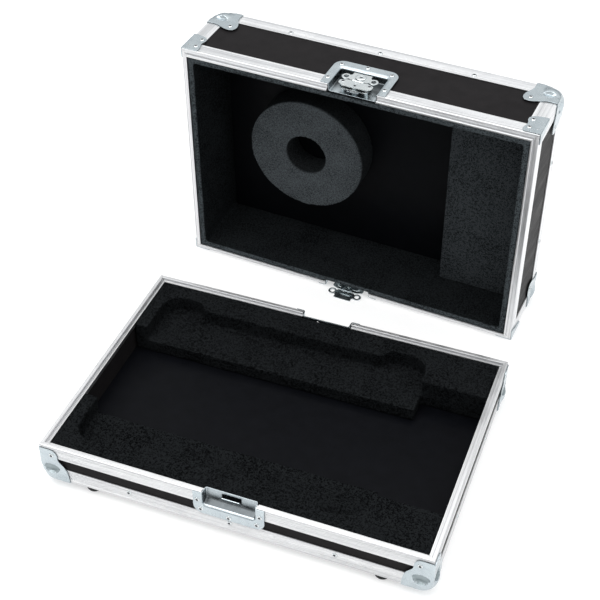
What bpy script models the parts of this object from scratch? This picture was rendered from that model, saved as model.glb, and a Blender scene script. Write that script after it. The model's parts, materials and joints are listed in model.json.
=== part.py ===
# Flight case for a tabletop media player: a shallow tray and a deep lift-off
# lid, both of thin black laminated board edged with aluminium profile.
# The tray lies on its rubber feet; the lid stands behind it on its rear wall
# with its open side facing forward.
#
# Lengths below are in millimetres and are turned into metres when a mesh is
# made.  +X is the case's right, +Y its back, +Z up.

import math

import bmesh
import bpy
from mathutils import Matrix, Vector

MM = 0.001

# ---------------------------------------------------------------- dimensions
WIDTH = 520.0            # outside width of the case
DEPTH = 360.0            # outside depth of the case
TRAY_BODY = 58.5         # tray, rim plane to underside of the edge angles
FOOT_H = 11.0            # height of a rubber foot
FOOT_X = 195.0           # a foot's centre, from the middle of the case
FOOT_Y = 166.0
LID_BODY = 117.0         # lid, rim plane to outside of its top
SEAT_GAP = 0.8           # space left between the two rims when closed

BOARD = 6.5              # wall board thickness
BOARD_OUT = 1.5          # outside face of the wall boards, inward of the rails
PANEL = 9.0              # floor board and lid top board thickness
RAIL_W = 9.5             # rim rail, across the wall
RAIL_H = 20.0            # rim rail, height of its outer leg
RAIL_IN = 6.0            # rim rail, height of its inner leg
TONGUE = 4.0             # height of the lid rail's tongue
SEAT = 4.3               # depth of the tray rail's step
SHEET = 1.2              # rail and angle sheet thickness
ANGLE = 22.3             # edge angle, leg width
CLEAR = 0.3              # fitting gap between touching pieces

PLATE = 1.3              # steel thickness of corners, braces and dishes
BALL_R = 19.5            # ball corner sphere
BALL_IN = 15.0           # sphere centre, inward of each outer face

DISH_HALF = 34.5         # inside half width of a latch or keeper recess
DISH_GAP = 36.2          # half length of the break in the rails
DISH_FLANGE = 47.3       # half width of the dish flange
LATCH_DEEP = 44.5        # latch recess, length away from the rim
LATCH_FLANGE = 61.5      # latch flange, length away from the rim
LATCH_FLOOR = 10.0       # depth of the latch recess floor
KEEPER_DEEP = 22.5       # keeper recess, length away from the rim
KEEPER_FLANGE = 37.5
KEEPER_FLOOR = 10.0
PIVOT_V = 10.0           # latch pivot, distance from the rim
COVER_D = 2.4            # latch cover plate, depth of its outer face
HOOK_TRAVEL = 8.0        # sliding travel of the latch hook

LINING = 9.0             # lid foam lining thickness
LINING_OUT = 9.8         # outside of the lining, inward of the outer face
FOAM_TOP = 3.2           # tray foam, top below the rim
LEDGE = 28.0             # tray foam, lower level below the rim

RING_R = 90.5            # foam ring that holds the player's platter
RING_HOLE = 32.0
RING_X = -97.0
RING_Y = -4.0
RING_T = 44.5
BLOCK_X = 123.0          # foam block, left face
BLOCK_T = 38.7

# the lid's place at rest: turned a little, and leaning towards the tray
# because its ball corners stand further out than its braces
LID_YAW = math.radians(-4.176)
LID_LEAN = math.radians(1.511)
LID_X = -17.9
LID_Y = 318.8
LID_Z = 1.83             # rear wall's outer face above the surface, at the rim

# centre of the whole layout's footprint
CENTRE_X = -7.541
CENTRE_Y = 136.609

RIM_Z = FOOT_H + TRAY_BODY
HW = WIDTH / 2
HD = DEPTH / 2

# ---------------------------------------------------------------- clean start
for old in list(bpy.data.objects):
    bpy.data.objects.remove(old, do_unlink=True)
for old in list(bpy.data.meshes):
    bpy.data.meshes.remove(old)


def material(name, rgb, rough, metal):
    m = bpy.data.materials.new(name)
    m.use_nodes = True
    b = m.node_tree.nodes["Principled BSDF"]
    b.inputs["Base Color"].default_value = (*rgb, 1.0)
    b.inputs["Roughness"].default_value = rough
    b.inputs["Metallic"].default_value = metal
    m.diffuse_color = (*rgb, 1.0)
    return m


LAMINATE = ("black_laminate", (0.022, 0.020, 0.020), 0.42, 0.0)
BOARDING = ("black_inner_board", (0.010, 0.010, 0.011), 0.40, 0.0)
ALUMINIUM = ("aluminium_profile", (0.80, 0.81, 0.82), 0.34, 1.0)
ZINC = ("zinc_plated_steel", (0.70, 0.74, 0.77), 0.28, 1.0)
FOAM_GREY = ("charcoal_foam", (0.045, 0.047, 0.050), 0.95, 0.0)
FOAM_BLACK = ("black_foam", (0.016, 0.016, 0.017), 0.95, 0.0)
RUBBER = ("black_rubber", (0.012, 0.012, 0.012), 0.75, 0.0)


def add_object(name, bm, look, parent):
    """Turn a bmesh in millimetres into one named object in metres."""
    bmesh.ops.recalc_face_normals(bm, faces=bm.faces)
    for v in bm.verts:
        v.co = v.co * MM
    me = bpy.data.meshes.new(name)
    bm.to_mesh(me)
    bm.free()
    if look is not None:
        me.materials.append(material("mat_" + name, *look[1:]))
    ob = bpy.data.objects.new(name, me)
    bpy.context.scene.collection.objects.link(ob)
    ob.parent = parent
    return ob


def cutter(ob):
    ob.hide_render = True
    ob.display_type = 'WIRE'
    return ob


def boolean(ob, other, kind):
    m = ob.modifiers.new(kind.lower(), 'BOOLEAN')
    m.operation = kind
    m.solver = 'EXACT'
    m.object = other
    cutter(other)


def round_off(ob, angle=38.0):
    ob.data.shade_smooth()
    ob.data.set_sharp_from_angle(angle=math.radians(angle))


# ---------------------------------------------------------------- shapes
def bm_box(bm, x0, x1, y0, y1, z0, z1):
    vs = [bm.verts.new((x, y, z)) for z in (z0, z1) for y in (y0, y1) for x in (x0, x1)]
    for f in ((0, 2, 3, 1), (4, 5, 7, 6), (0, 1, 5, 4), (1, 3, 7, 5), (3, 2, 6, 7), (2, 0, 4, 6)):
        bm.faces.new([vs[i] for i in f])


def bm_prism(bm, outline, place, a, b):
    """Extrude a closed outline of (p, q) points; place(p, q, t) gives a point."""
    va = [bm.verts.new(place(p, q, a)) for p, q in outline]
    vb = [bm.verts.new(place(p, q, b)) for p, q in outline]
    n = len(outline)
    bm.faces.new(va)
    bm.faces.new(list(reversed(vb)))
    for i in range(n):
        j = (i + 1) % n
        bm.faces.new((va[i], va[j], vb[j], vb[i]))


def bm_lathe(bm, rings, sides, place):
    """Closed turned shape; rings are (radius, height), ends close on the axis."""
    rows = []
    for r, h in rings:
        if r < 1e-6:
            rows.append([bm.verts.new(place(0.0, 0.0, h))])
        else:
            rows.append([bm.verts.new(place(r * math.cos(2 * math.pi * i / sides),
                                            r * math.sin(2 * math.pi * i / sides), h))
                         for i in range(sides)])
    for lo, hi in zip(rows[:-1], rows[1:]):
        for i in range(sides):
            j = (i + 1) % sides
            quad = []
            for v in (lo[i % len(lo)], lo[j % len(lo)], hi[j % len(hi)], hi[i % len(hi)]):
                if v not in quad:
                    quad.append(v)
            if len(quad) > 2:
                bm.faces.new(quad)


def rounded(points, segs=3):
    """Round the corners of a polygon; points are (x, y, radius)."""
    out = []
    n = len(points)
    for i in range(n):
        x, y, r = points[i]
        if r <= 0:
            out.append((x, y))
            continue
        p = Vector((x, y))
        a = (Vector(points[i - 1][:2]) - p).normalized()
        b = (Vector(points[(i + 1) % n][:2]) - p).normalized()
        half = a.angle(b) / 2
        t = r / math.tan(half)
        pa, pb = p + a * t, p + b * t
        c = p + (a + b).normalized() * (r / math.sin(half))
        a0 = math.atan2(*(pa - c).yx)
        a1 = math.atan2(*(pb - c).yx)
        d = (a1 - a0 + math.pi) % (2 * math.pi) - math.pi
        for k in range(segs + 1):
            w = a0 + d * k / segs
            out.append((c.x + r * math.cos(w), c.y + r * math.sin(w)))
    return out


def wall_point(side, t, s, z):
    """A point on a wall: t along it, s inward of its outer face."""
    if side == "front":
        return (t, -HD + s, z)
    if side == "rear":
        return (t, HD - s, z)
    if side == "left":
        return (-HW + s, t, z)
    return (HW - s, t, z)


def bar(name, profile, side, zs, look, parent, ends=(None, None), cut=0.0):
    """A length of profile along one wall; profile points are (s, w).
    An end of None is mitred at the corner, a number cuts it square there,
    and no mitred end comes nearer to the corner than cut."""
    half = HW if side in ("front", "rear") else HD
    bm = bmesh.new()
    rows = []
    for sign, end in zip((-1, 1), ends):
        rows.append([bm.verts.new(wall_point(side, sign * (half - max(s, cut) - 0.15) if end is None else end, s, zs * w))
                     for s, w in profile])
    n = len(profile)
    bm.faces.new(rows[0])
    bm.faces.new(list(reversed(rows[1])))
    for i in range(n):
        j = (i + 1) % n
        bm.faces.new((rows[0][i], rows[0][j], rows[1][j], rows[1][i]))
    return add_object(name, bm, look, parent)


def side_label(side):
    return {"front": "front", "rear": "rear", "left": "left", "right": "right"}[side]


# the lid's rail has a tongue along its inner edge; the tray's has a step for it
TONGUE_RAIL = [(0.0, 0.9), (0.0, RAIL_H), (SHEET, RAIL_H), (SHEET, SHEET), (RAIL_W - SHEET, SHEET),
               (RAIL_W - SHEET, RAIL_IN), (RAIL_W, RAIL_IN), (RAIL_W, -TONGUE + 0.4), (RAIL_W - 0.4, -TONGUE),
               (7.5, -TONGUE), (6.8, -TONGUE + 1.0), (6.8, 0.0), (0.9, 0.0)]
STEP_RAIL = [(0.0, 0.9), (0.0, RAIL_H), (SHEET, RAIL_H), (SHEET, SEAT + SHEET), (RAIL_W - SHEET, SEAT + SHEET),
             (RAIL_W - SHEET, RAIL_IN + SEAT), (RAIL_W, RAIL_IN + SEAT), (RAIL_W, SEAT + 0.4), (RAIL_W - 0.4, SEAT),
             (5.4, SEAT), (5.4, 0.5), (4.9, 0.0), (0.9, 0.0)]


def edge_profile(far):
    """Angle round the edge between a wall and the board that closes the shell."""
    return [(0.0, far - ANGLE), (0.0, far - 1.6), (0.5, far - 0.5), (1.6, far), (ANGLE, far),
            (ANGLE, far - SHEET), (SHEET, far - SHEET), (SHEET, far - ANGLE)]


def rivet_cluster(bm, points, r=3.6, h=1.5, sink=0.8, sides=8):
    """Low domed rivet heads: each point is (centre on the surface, outward normal)."""
    for c, n in points:
        c, n = Vector(c), Vector(n)
        q = n.to_track_quat('Z', 'Y')
        bm_lathe(bm, [(0, -sink), (r, -sink), (r, 0.35), (r * 0.62, h), (0, h)], sides,
                 lambda x, y, z: c + q @ Vector((x, y, z)))


def add_rivets(ob, points, **kw):
    bm = bmesh.new()
    rivet_cluster(bm, points, **kw)
    heads = add_object(ob.name + "_rivets", bm, None, ob.parent)
    boolean(ob, heads, 'UNION')


# ---------------------------------------------------------------- frames
def empty(name, parent=None, matrix=None):
    e = bpy.data.objects.new(name, None)
    bpy.context.scene.collection.objects.link(e)
    e.empty_display_size = 0.02
    e.parent = parent
    if matrix is not None:
        e.matrix_local = matrix
    return e


case_root = empty("case_root", None, Matrix.Translation((-CENTRE_X * MM, -CENTRE_Y * MM, 0)))
tray = empty("tray_frame", case_root, Matrix.Translation((0, 0, RIM_Z * MM)))

# closed place of the lid: its rim plane lies SEAT_GAP above the tray's
lid_closed = Matrix.Translation((0, 0, (RIM_Z + SEAT_GAP) * MM))
# rest place: stood up on the rear wall, leant by LID_LEAN and turned by LID_YAW
stand = Matrix.Translation((0, 0, HD * MM)) @ Matrix.Rotation(math.radians(-90), 4, 'X')
lid_rest = (Matrix.Translation((LID_X * MM, LID_Y * MM, LID_Z * MM))
            @ Matrix.Rotation(LID_YAW, 4, 'Z') @ Matrix.Rotation(LID_LEAN, 4, 'X') @ stand)

# The lid is lifted over and set down on the tray in one turn of the pin of
# its rear latch about a fixed axis, while the lid turns a little on that pin.
PIN_AT = Vector((0, (HD - 5.0) * MM, PIVOT_V * MM))


def swing(turn):
    """Axis, angle and slip of the pin's move when the lid turns on it by turn."""
    on_pin = Matrix.Translation(PIN_AT) @ Matrix.Rotation(turn, 4, 'Y') @ Matrix.Translation(-PIN_AT)
    move = lid_closed @ on_pin @ lid_rest.inverted()
    axis, angle = move.to_quaternion().to_axis_angle()
    if axis.x < 0:
        axis, angle = -axis, -angle
    angle %= 2 * math.pi
    slip = axis.dot(move.translation)
    across = move.translation - axis * slip
    point = 0.5 * (across + axis.cross(across) / math.tan(angle / 2))
    return axis, angle, slip, point - axis * (point.x / axis.x)


lo, hi = -0.6, 0.6
s_lo = swing(lo)[2]
for _ in range(60):
    mid = 0.5 * (lo + hi)
    s_mid = swing(mid)[2]
    if (s_mid > 0) == (s_lo > 0):
        lo, s_lo = mid, s_mid
    else:
        hi = mid
swivel = 0.5 * (lo + hi)
close_axis, close_angle, slip, close_point = swing(swivel)
pin_axis = lid_rest.to_3x3() @ Vector((0, 1, 0))
pin_point = lid_rest @ PIN_AT
lid_axis = empty("lid_close_axis", case_root, Matrix.Translation(close_point))
pin_frame = empty("lid_swivel_axis", lid_axis, Matrix.Translation(-close_point) @ lid_rest @ Matrix.Translation(PIN_AT))
lid = empty("lid_frame", pin_frame, Matrix.Translation(-PIN_AT))


# ---------------------------------------------------------------- boards
def wall_frame(name, near, far, zs, notch, look, parent):
    """The four glued wall boards of one shell, with a cut for each dish."""
    bm = bmesh.new()
    o, i = BOARD_OUT, BOARD_OUT + BOARD
    bm_box(bm, -HW + o, HW - o, -HD + o, HD - o, min(zs * near, zs * far), max(zs * near, zs * far))
    ob = add_object(name, bm, look, parent)
    bm = bmesh.new()
    bm_box(bm, -HW + i, HW - i, -HD + i, HD - i, -400, 400)
    boolean(ob, add_object(name + "_opening", bm, None, parent), 'DIFFERENCE')
    bm = bmesh.new()
    z0, z1 = sorted((-zs * 10, zs * (notch + 2.4)))
    bm_box(bm, -DISH_HALF - 2.4, DISH_HALF + 2.4, -HD - 10, HD + 10, z0, z1)
    boolean(ob, add_object(name + "_dish_cut", bm, None, parent), 'DIFFERENCE')
    # the four corners at the closed end are sawn off to clear the balls
    bm = bmesh.new()
    for sx in (-1, 1):
        for sy in (-1, 1):
            x0, x1 = sorted((sx * (HW - 16.0), sx * (HW + 5)))
            y0, y1 = sorted((sy * (HD - 16.0), sy * (HD + 5)))
            z0, z1 = sorted((zs * (far + SHEET + CLEAR - 16.0), zs * (far + 9)))
            bm_box(bm, x0, x1, y0, y1, z0, z1)
    boolean(ob, add_object(name + "_corners", bm, None, parent), 'DIFFERENCE')
    return ob


wall_frame("tray_wall_boards", SEAT + SHEET + CLEAR, TRAY_BODY - SHEET - CLEAR, -1, KEEPER_DEEP, LAMINATE, tray)
wall_frame("lid_wall_boards", SHEET + CLEAR, LID_BODY - SHEET - CLEAR, 1, LATCH_DEEP, LAMINATE, lid)

inner_x = HW - BOARD_OUT - BOARD - CLEAR
inner_y = HD - BOARD_OUT - BOARD - CLEAR
bm = bmesh.new()
bm_box(bm, -inner_x, inner_x, -inner_y, inner_y, -(TRAY_BODY - SHEET - CLEAR), -(TRAY_BODY - SHEET - CLEAR - PANEL))
add_object("tray_floor_board", bm, BOARDING, tray)
FLOOR_TOP = TRAY_BODY - SHEET - CLEAR - PANEL      # below the rim
bm = bmesh.new()
bm_box(bm, -inner_x, inner_x, -inner_y, inner_y, LID_BODY - SHEET - CLEAR - PANEL, LID_BODY - SHEET - CLEAR)
add_object("lid_top_board", bm, BOARDING, lid)
LID_INSIDE = LID_BODY - SHEET - CLEAR - PANEL

# ---------------------------------------------------------------- profiles
for who, zs, shape, parent in (("tray", -1, STEP_RAIL, tray), ("lid", 1, TONGUE_RAIL, lid)):
    for side in ("front", "rear"):
        bar(f"{who}_{side}_rail_left", shape, side, zs, ALUMINIUM, parent, (None, -DISH_GAP))
        bar(f"{who}_{side}_rail_right", shape, side, zs, ALUMINIUM, parent, (DISH_GAP, None))
    for side in ("left", "right"):
        bar(f"{who}_{side}_rail", shape, side, zs, ALUMINIUM, parent)

LONG_RIVETS = (-137.5, 0.0, 137.5)
SHORT_RIVETS = (-70.0, 70.0)
for who, zs, far, parent in (("tray", -1, TRAY_BODY, tray), ("lid", 1, LID_BODY, lid)):
    for side in ("front", "rear", "left", "right"):
        ob = bar(f"{who}_{side}_edge_angle", edge_profile(far), side, zs, ALUMINIUM, parent, cut=16.0)
        spots = LONG_RIVETS if side in ("front", "rear") else SHORT_RIVETS
        n = {"front": (0, -1, 0), "rear": (0, 1, 0), "left": (-1, 0, 0), "right": (1, 0, 0)}[side]
        add_rivets(ob, [(wall_point(side, t, 0, zs * (far - 15.5)), n) for t in spots])

# upright corner angles of the lid, between its rim rails and its edge angles
for sx, nx in ((-1, "left"), (1, "right")):
    for sy, ny in ((-1, "front"), (1, "rear")):
        L = [(1.6, 0.0), (0.5, 0.5), (0.0, 1.6), (0.0, ANGLE), (SHEET, ANGLE), (SHEET, SHEET),
             (ANGLE, SHEET), (ANGLE, 0.0)]
        bm = bmesh.new()
        bm_prism(bm, L, lambda p, q, t: (sx * (HW - p), sy * (HD - q), t), RAIL_H + CLEAR, LID_BODY - ANGLE - CLEAR)
        add_object(f"lid_corner_angle_{ny}_{nx}", bm, ALUMINIUM, lid)

        # brace over the joint of two rim rails, folded round the corner
        o, e = CLEAR, CLEAR + PLATE
        face = [(-e, 1.0), (22.2, 1.0), (24.4, 3.2), (24.5, 7.5), (22.2, 15.5), (22.0, 21.0), (23.9, 27.0), (23.9, 32.0),
                (21.2, 36.2), (16.5, 38.8), (10.0, 40.4), (4.0, 40.9), (-e, 40.9)]
        side = [(-e + 0.01, 1.01), (14.8, 1.01), (16.2, 2.6), (13.2, 10.0), (10.0, 18.0), (8.0, 27.0), (6.4, 36.0), (4.0, 40.4),
                (2.0, 40.89), (-e + 0.01, 40.89)]
        bm = bmesh.new()
        bm_prism(bm, face, lambda p, w, q: (sx * (HW - p), sy * (HD - q), w), -e, -o)
        ob = add_object(f"lid_corner_brace_{ny}_{nx}", bm, ZINC, lid)
        bm = bmesh.new()
        bm_prism(bm, side, lambda q, w, p: (sx * (HW - p), sy * (HD - q), w), -e + 0.005, -o)
        boolean(ob, add_object(ob.name + "_side", bm, None, lid), 'UNION')
        add_rivets(ob, [((sx * (HW - 17.2), sy * (HD + e), w), (0, sy, 0)) for w in (11.2, 29.7)], r=3.2, h=0.6, sink=0.7)


# ---------------------------------------------------------------- ball corners
def ball_corner(name, sx, sy, far, zs, leg, wall_leg, look, parent, tall=None):
    """Pressed corner with a round knob.  far is the closed end of the shell."""
    o = CLEAR
    t = PLATE
    drop = 0.0 if tall is None else 4.5     # the tray's knob hangs lower

    def P(p, q, r):                     # p, q, r inward from the three faces
        return Vector((sx * (HW - p), sy * (HD - q), zs * (far - r)))

    def ball(suffix, radius, steps):
        bm = bmesh.new()
        arc = [(math.sin(math.pi * k / steps), -math.cos(math.pi * k / steps)) for k in range(steps + 1)]
        w = 0.11
        bm_lathe(bm, [(radius * a, radius * b) for a, b in arc], steps * 2,
                 lambda x, y, z: P(BALL_IN + x * math.cos(w) - y * math.sin(w), BALL_IN + x * math.sin(w) + y * math.cos(w),
                                   BALL_IN - drop + z))
        return add_object(name + suffix, bm, None, parent)

    def block(suffix, a, b):
        a, b = P(*a), P(*b)
        bm = bmesh.new()
        bm_box(bm, min(a.x, b.x), max(a.x, b.x), min(a.y, b.y), max(a.y, b.y), min(a.z, b.z), max(a.z, b.z))
        return add_object(name + suffix, bm, None, parent)

    # plates on the two walls and on the closed end
    flat = rounded([(-o - t, -o - t, 1.2), (leg, -o - t, 3.0), (leg, leg, 9.0), (-o - t, leg, 3.0)], 3)
    bm = bmesh.new()
    bm_prism(bm, flat, lambda p, q, r: P(p, q, r), -o - t, -o)
    ob = add_object(name, bm, look, parent)
    round_off(ob)
    if tall is None:
        side = rounded([(-o - t + 0.02, -o - t + 0.02, 1.2), (wall_leg, -o - t + 0.02, 3.0), (wall_leg, wall_leg, 9.0),
                        (-o - t + 0.02, wall_leg, 3.0)], 3)
    else:
        side = rounded([(-o - t + 0.02, -o - t + 0.02, 1.2), (wall_leg, -o - t + 0.02, 3.0), (wall_leg - 2.5, 22.0, 8.0),
                        (15.0, tall, 6.0), (-o - t + 0.02, tall, 0.8)], 3)
    bm = bmesh.new()
    bm_prism(bm, side, lambda p, r, q: P(p, q, r), -o - t + 0.01, -o)
    plate = add_object(name + "_wall_a", bm, None, parent)
    boolean(ob, plate, 'UNION')
    bm = bmesh.new()
    bm_prism(bm, side, lambda q, r, p: P(p, q, r), -o - t + 0.005, -o)
    plate = add_object(name + "_wall_b", bm, None, parent)
    boolean(ob, plate, 'UNION')
    # the round knob takes the place of the sharp corner
    boolean(ob, block("_cut", (-9, -9, -9), (14.6, 14.6, 14.6)), 'DIFFERENCE')
    boolean(ob, ball("_ball", BALL_R, 9), 'UNION')
    # rivets, one on each face
    heads = [(P(leg - 8.5, leg - 8.5, -o - t), (0, 0, zs))]
    if tall is None:
        heads += [(P(wall_leg - 8.5, -o - t, wall_leg - 8.5), (0, sy, 0)),
                  (P(-o - t, wall_leg - 8.5, wall_leg - 8.5), (sx, 0, 0))]
    else:
        heads += [(P(13.5, -o - t, tall - 12.0), (0, sy, 0)), (P(-o - t, 13.5, tall - 12.0), (sx, 0, 0))]
    bm = bmesh.new()
    rivet_cluster(bm, heads, r=3.2, h=0.6, sink=0.7)
    rv = add_object(name + "_rivets", bm, None, parent)
    boolean(ob, rv, 'UNION')
    # hollow: the space of the case itself, and the inside of the knob
    core = block("_inside", (-o, -o, -o), (200, 150, 200))
    boolean(core, block("_corner", (-20, -20, -20), (15.2, 15.2, 15.2)), 'DIFFERENCE')
    boolean(core, ball("_hollow", BALL_R - 1.5, 8), 'UNION')
    boolean(ob, core, 'DIFFERENCE')
    return ob


for sx, nx in ((-1, "left"), (1, "right")):
    for sy, ny in ((-1, "front"), (1, "rear")):
        ball_corner(f"tray_ball_corner_{ny}_{nx}", sx, sy, TRAY_BODY, -1, 37.0, 36.0, ZINC, tray, tall=TRAY_BODY - 2.0)
        ball_corner(f"lid_ball_corner_{ny}_{nx}", sx, sy, LID_BODY, 1, 46.0, 46.0, ZINC, lid)

# ---------------------------------------------------------------- feet
for sx, nx in ((-1, "left"), (1, "right")):
    for sy, ny in ((-1, "front"), (1, "rear")):
        bm = bmesh.new()
        h = FOOT_H - CLEAR
        bm_lathe(bm, [(0, 0), (11.0, 0), (11.0, -h * 0.62), (9.7, -h * 0.93), (8.4, -h), (0, -h)], 20,
                 lambda x, y, z: (sx * FOOT_X + x, sy * FOOT_Y + y, -TRAY_BODY - CLEAR + z))
        ob = add_object(f"tray_foot_{ny}_{nx}", bm, RUBBER, tray)
        round_off(ob)


# ---------------------------------------------------------------- dishes
def dish_outline(half, length, r, tip=0.6):
    return rounded([(-half, tip, 1.5), (-half, length, r), (half, length, r), (half, tip, 1.5)], 4)


def dish(name, sy, zs, deep, flange, floor, look, parent, extra):
    """Recessed steel dish let into the middle of a long wall, open at the rim.
    v runs away from the rim, d inward from the wall's outer face."""
    def place(u, v, d):
        return (u, sy * (HD - d), zs * v)

    bm = bmesh.new()
    bm_prism(bm, dish_outline(DISH_FLANGE, flange, 14.0), lambda u, v, d: place(u, v, d), -CLEAR - PLATE, -CLEAR)
    ob = add_object(name, bm, look, parent)
    bm = bmesh.new()
    o = DISH_HALF + SHEET
    tub = rounded([(-o, 0.6, 0), (-o, deep + SHEET, 3.0), (o, deep + SHEET, 3.0), (o, 0.6, 0)], 2)
    bm_prism(bm, tub, place, -CLEAR - 0.4, floor + SHEET)
    part = add_object(name + "_tub", bm, None, parent)
    boolean(ob, part, 'UNION')
    bm = bmesh.new()
    tub = rounded([(-DISH_HALF, -5.0, 0), (-DISH_HALF, deep, 2.0), (DISH_HALF, deep, 2.0), (DISH_HALF, -5.0, 0)], 2)
    bm_prism(bm, tub, place, -6.0, floor)
    part = add_object(name + "_hollow", bm, None, parent)
    boolean(ob, part, 'DIFFERENCE')
    extra(ob, place, name, parent)
    return ob


def keeper_extra(ob, place, name, parent):
    # slot in the back of the recess with its lip bent outward below it
    bm = bmesh.new()
    bm_prism(bm, [(-13.0, 4.2), (-13.0, 15.0), (13.0, 15.0), (13.0, 4.2)], place, KEEPER_FLOOR - 2.0, KEEPER_FLOOR + 4.0)
    boolean(ob, add_object(name + "_slot", bm, None, parent), 'DIFFERENCE')
    bm = bmesh.new()
    lip = [(18.6, KEEPER_FLOOR + 0.7), (14.2, KEEPER_FLOOR + 0.7), (12.9, 8.4), (7.8, 6.6), (8.2, 5.4), (13.9, 7.4),
           (15.2, KEEPER_FLOOR - 0.5), (18.6, KEEPER_FLOOR - 0.5)]
    bm_prism(bm, lip, lambda v, d, u: place(u, v, d), -12.0, 12.0)
    boolean(ob, add_object(name + "_lip", bm, None, parent), 'UNION')
    n = place(0, 0, -1)
    n = (0, 1 if n[1] > 0 else -1, 0)
    s = -CLEAR - PLATE
    add_rivets(ob, [(place(-41.2, 14.0, s), n), (place(41.2, 14.0, s), n), (place(-37.2, 29.5, s), n),
                    (place(37.2, 29.5, s), n), (place(0, 32.2, s), n)], r=3.2, h=0.6, sink=0.7)


def latch_extra(ob, place, name, parent):
    # two posts in the floor carry the cover plate over the hook
    bm = bmesh.new()
    for u in (-16.0, 16.0):
        bm_lathe(bm, [(0, COVER_D + 0.6), (2.8, COVER_D + 0.6), (2.8, LATCH_FLOOR + 0.5), (0, LATCH_FLOOR + 0.5)], 10,
                 lambda x, y, z: place(u + x, PIVOT_V + y, z))
    boolean(ob, add_object(name + "_posts", bm, None, parent), 'UNION')
    bm = bmesh.new()
    cover = [(-21.0, 6.5), (-16.5, 2.0), (16.5, 2.0), (21.0, 6.5), (21.0, 20.0), (19.0, 22.0), (-19.0, 22.0), (-21.0, 20.0)]
    bm_prism(bm, cover, place, COVER_D, COVER_D + 1.2)
    boolean(ob, add_object(name + "_cover", bm, None, parent), 'UNION')
    bm = bmesh.new()
    bm_lathe(bm, [(0, COVER_D - 2.0), (4.9, COVER_D - 2.0), (4.9, COVER_D + 2.0), (0, COVER_D + 2.0)], 16,
             lambda x, y, z: place(x, PIVOT_V + y, z))
    boolean(ob, add_object(name + "_cover_hole", bm, None, parent), 'DIFFERENCE')
    n = place(0, 0, -1)
    n = (0, 1 if n[1] > 0 else -1, 0)
    s = -CLEAR - PLATE
    add_rivets(ob, [(place(-37.0, 52.0, s), n), (place(37.0, 52.0, s), n), (place(0, 56.0, s), n),
                    (place(-41.4, 14.0, s), n), (place(41.4, 14.0, s), n)], r=3.2, h=0.6, sink=0.7)


dish("tray_front_keeper_dish", -1, -1, KEEPER_DEEP, KEEPER_FLANGE, KEEPER_FLOOR, ZINC, tray, keeper_extra)
dish("tray_rear_keeper_dish", 1, -1, KEEPER_DEEP, KEEPER_FLANGE, KEEPER_FLOOR, ZINC, tray, keeper_extra)
dish("lid_front_latch_dish", -1, 1, LATCH_DEEP, LATCH_FLANGE, LATCH_FLOOR, ZINC, lid, latch_extra)
dish("lid_rear_latch_dish", 1, 1, LATCH_DEEP, LATCH_FLANGE, LATCH_FLOOR, ZINC, lid, latch_extra)


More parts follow.
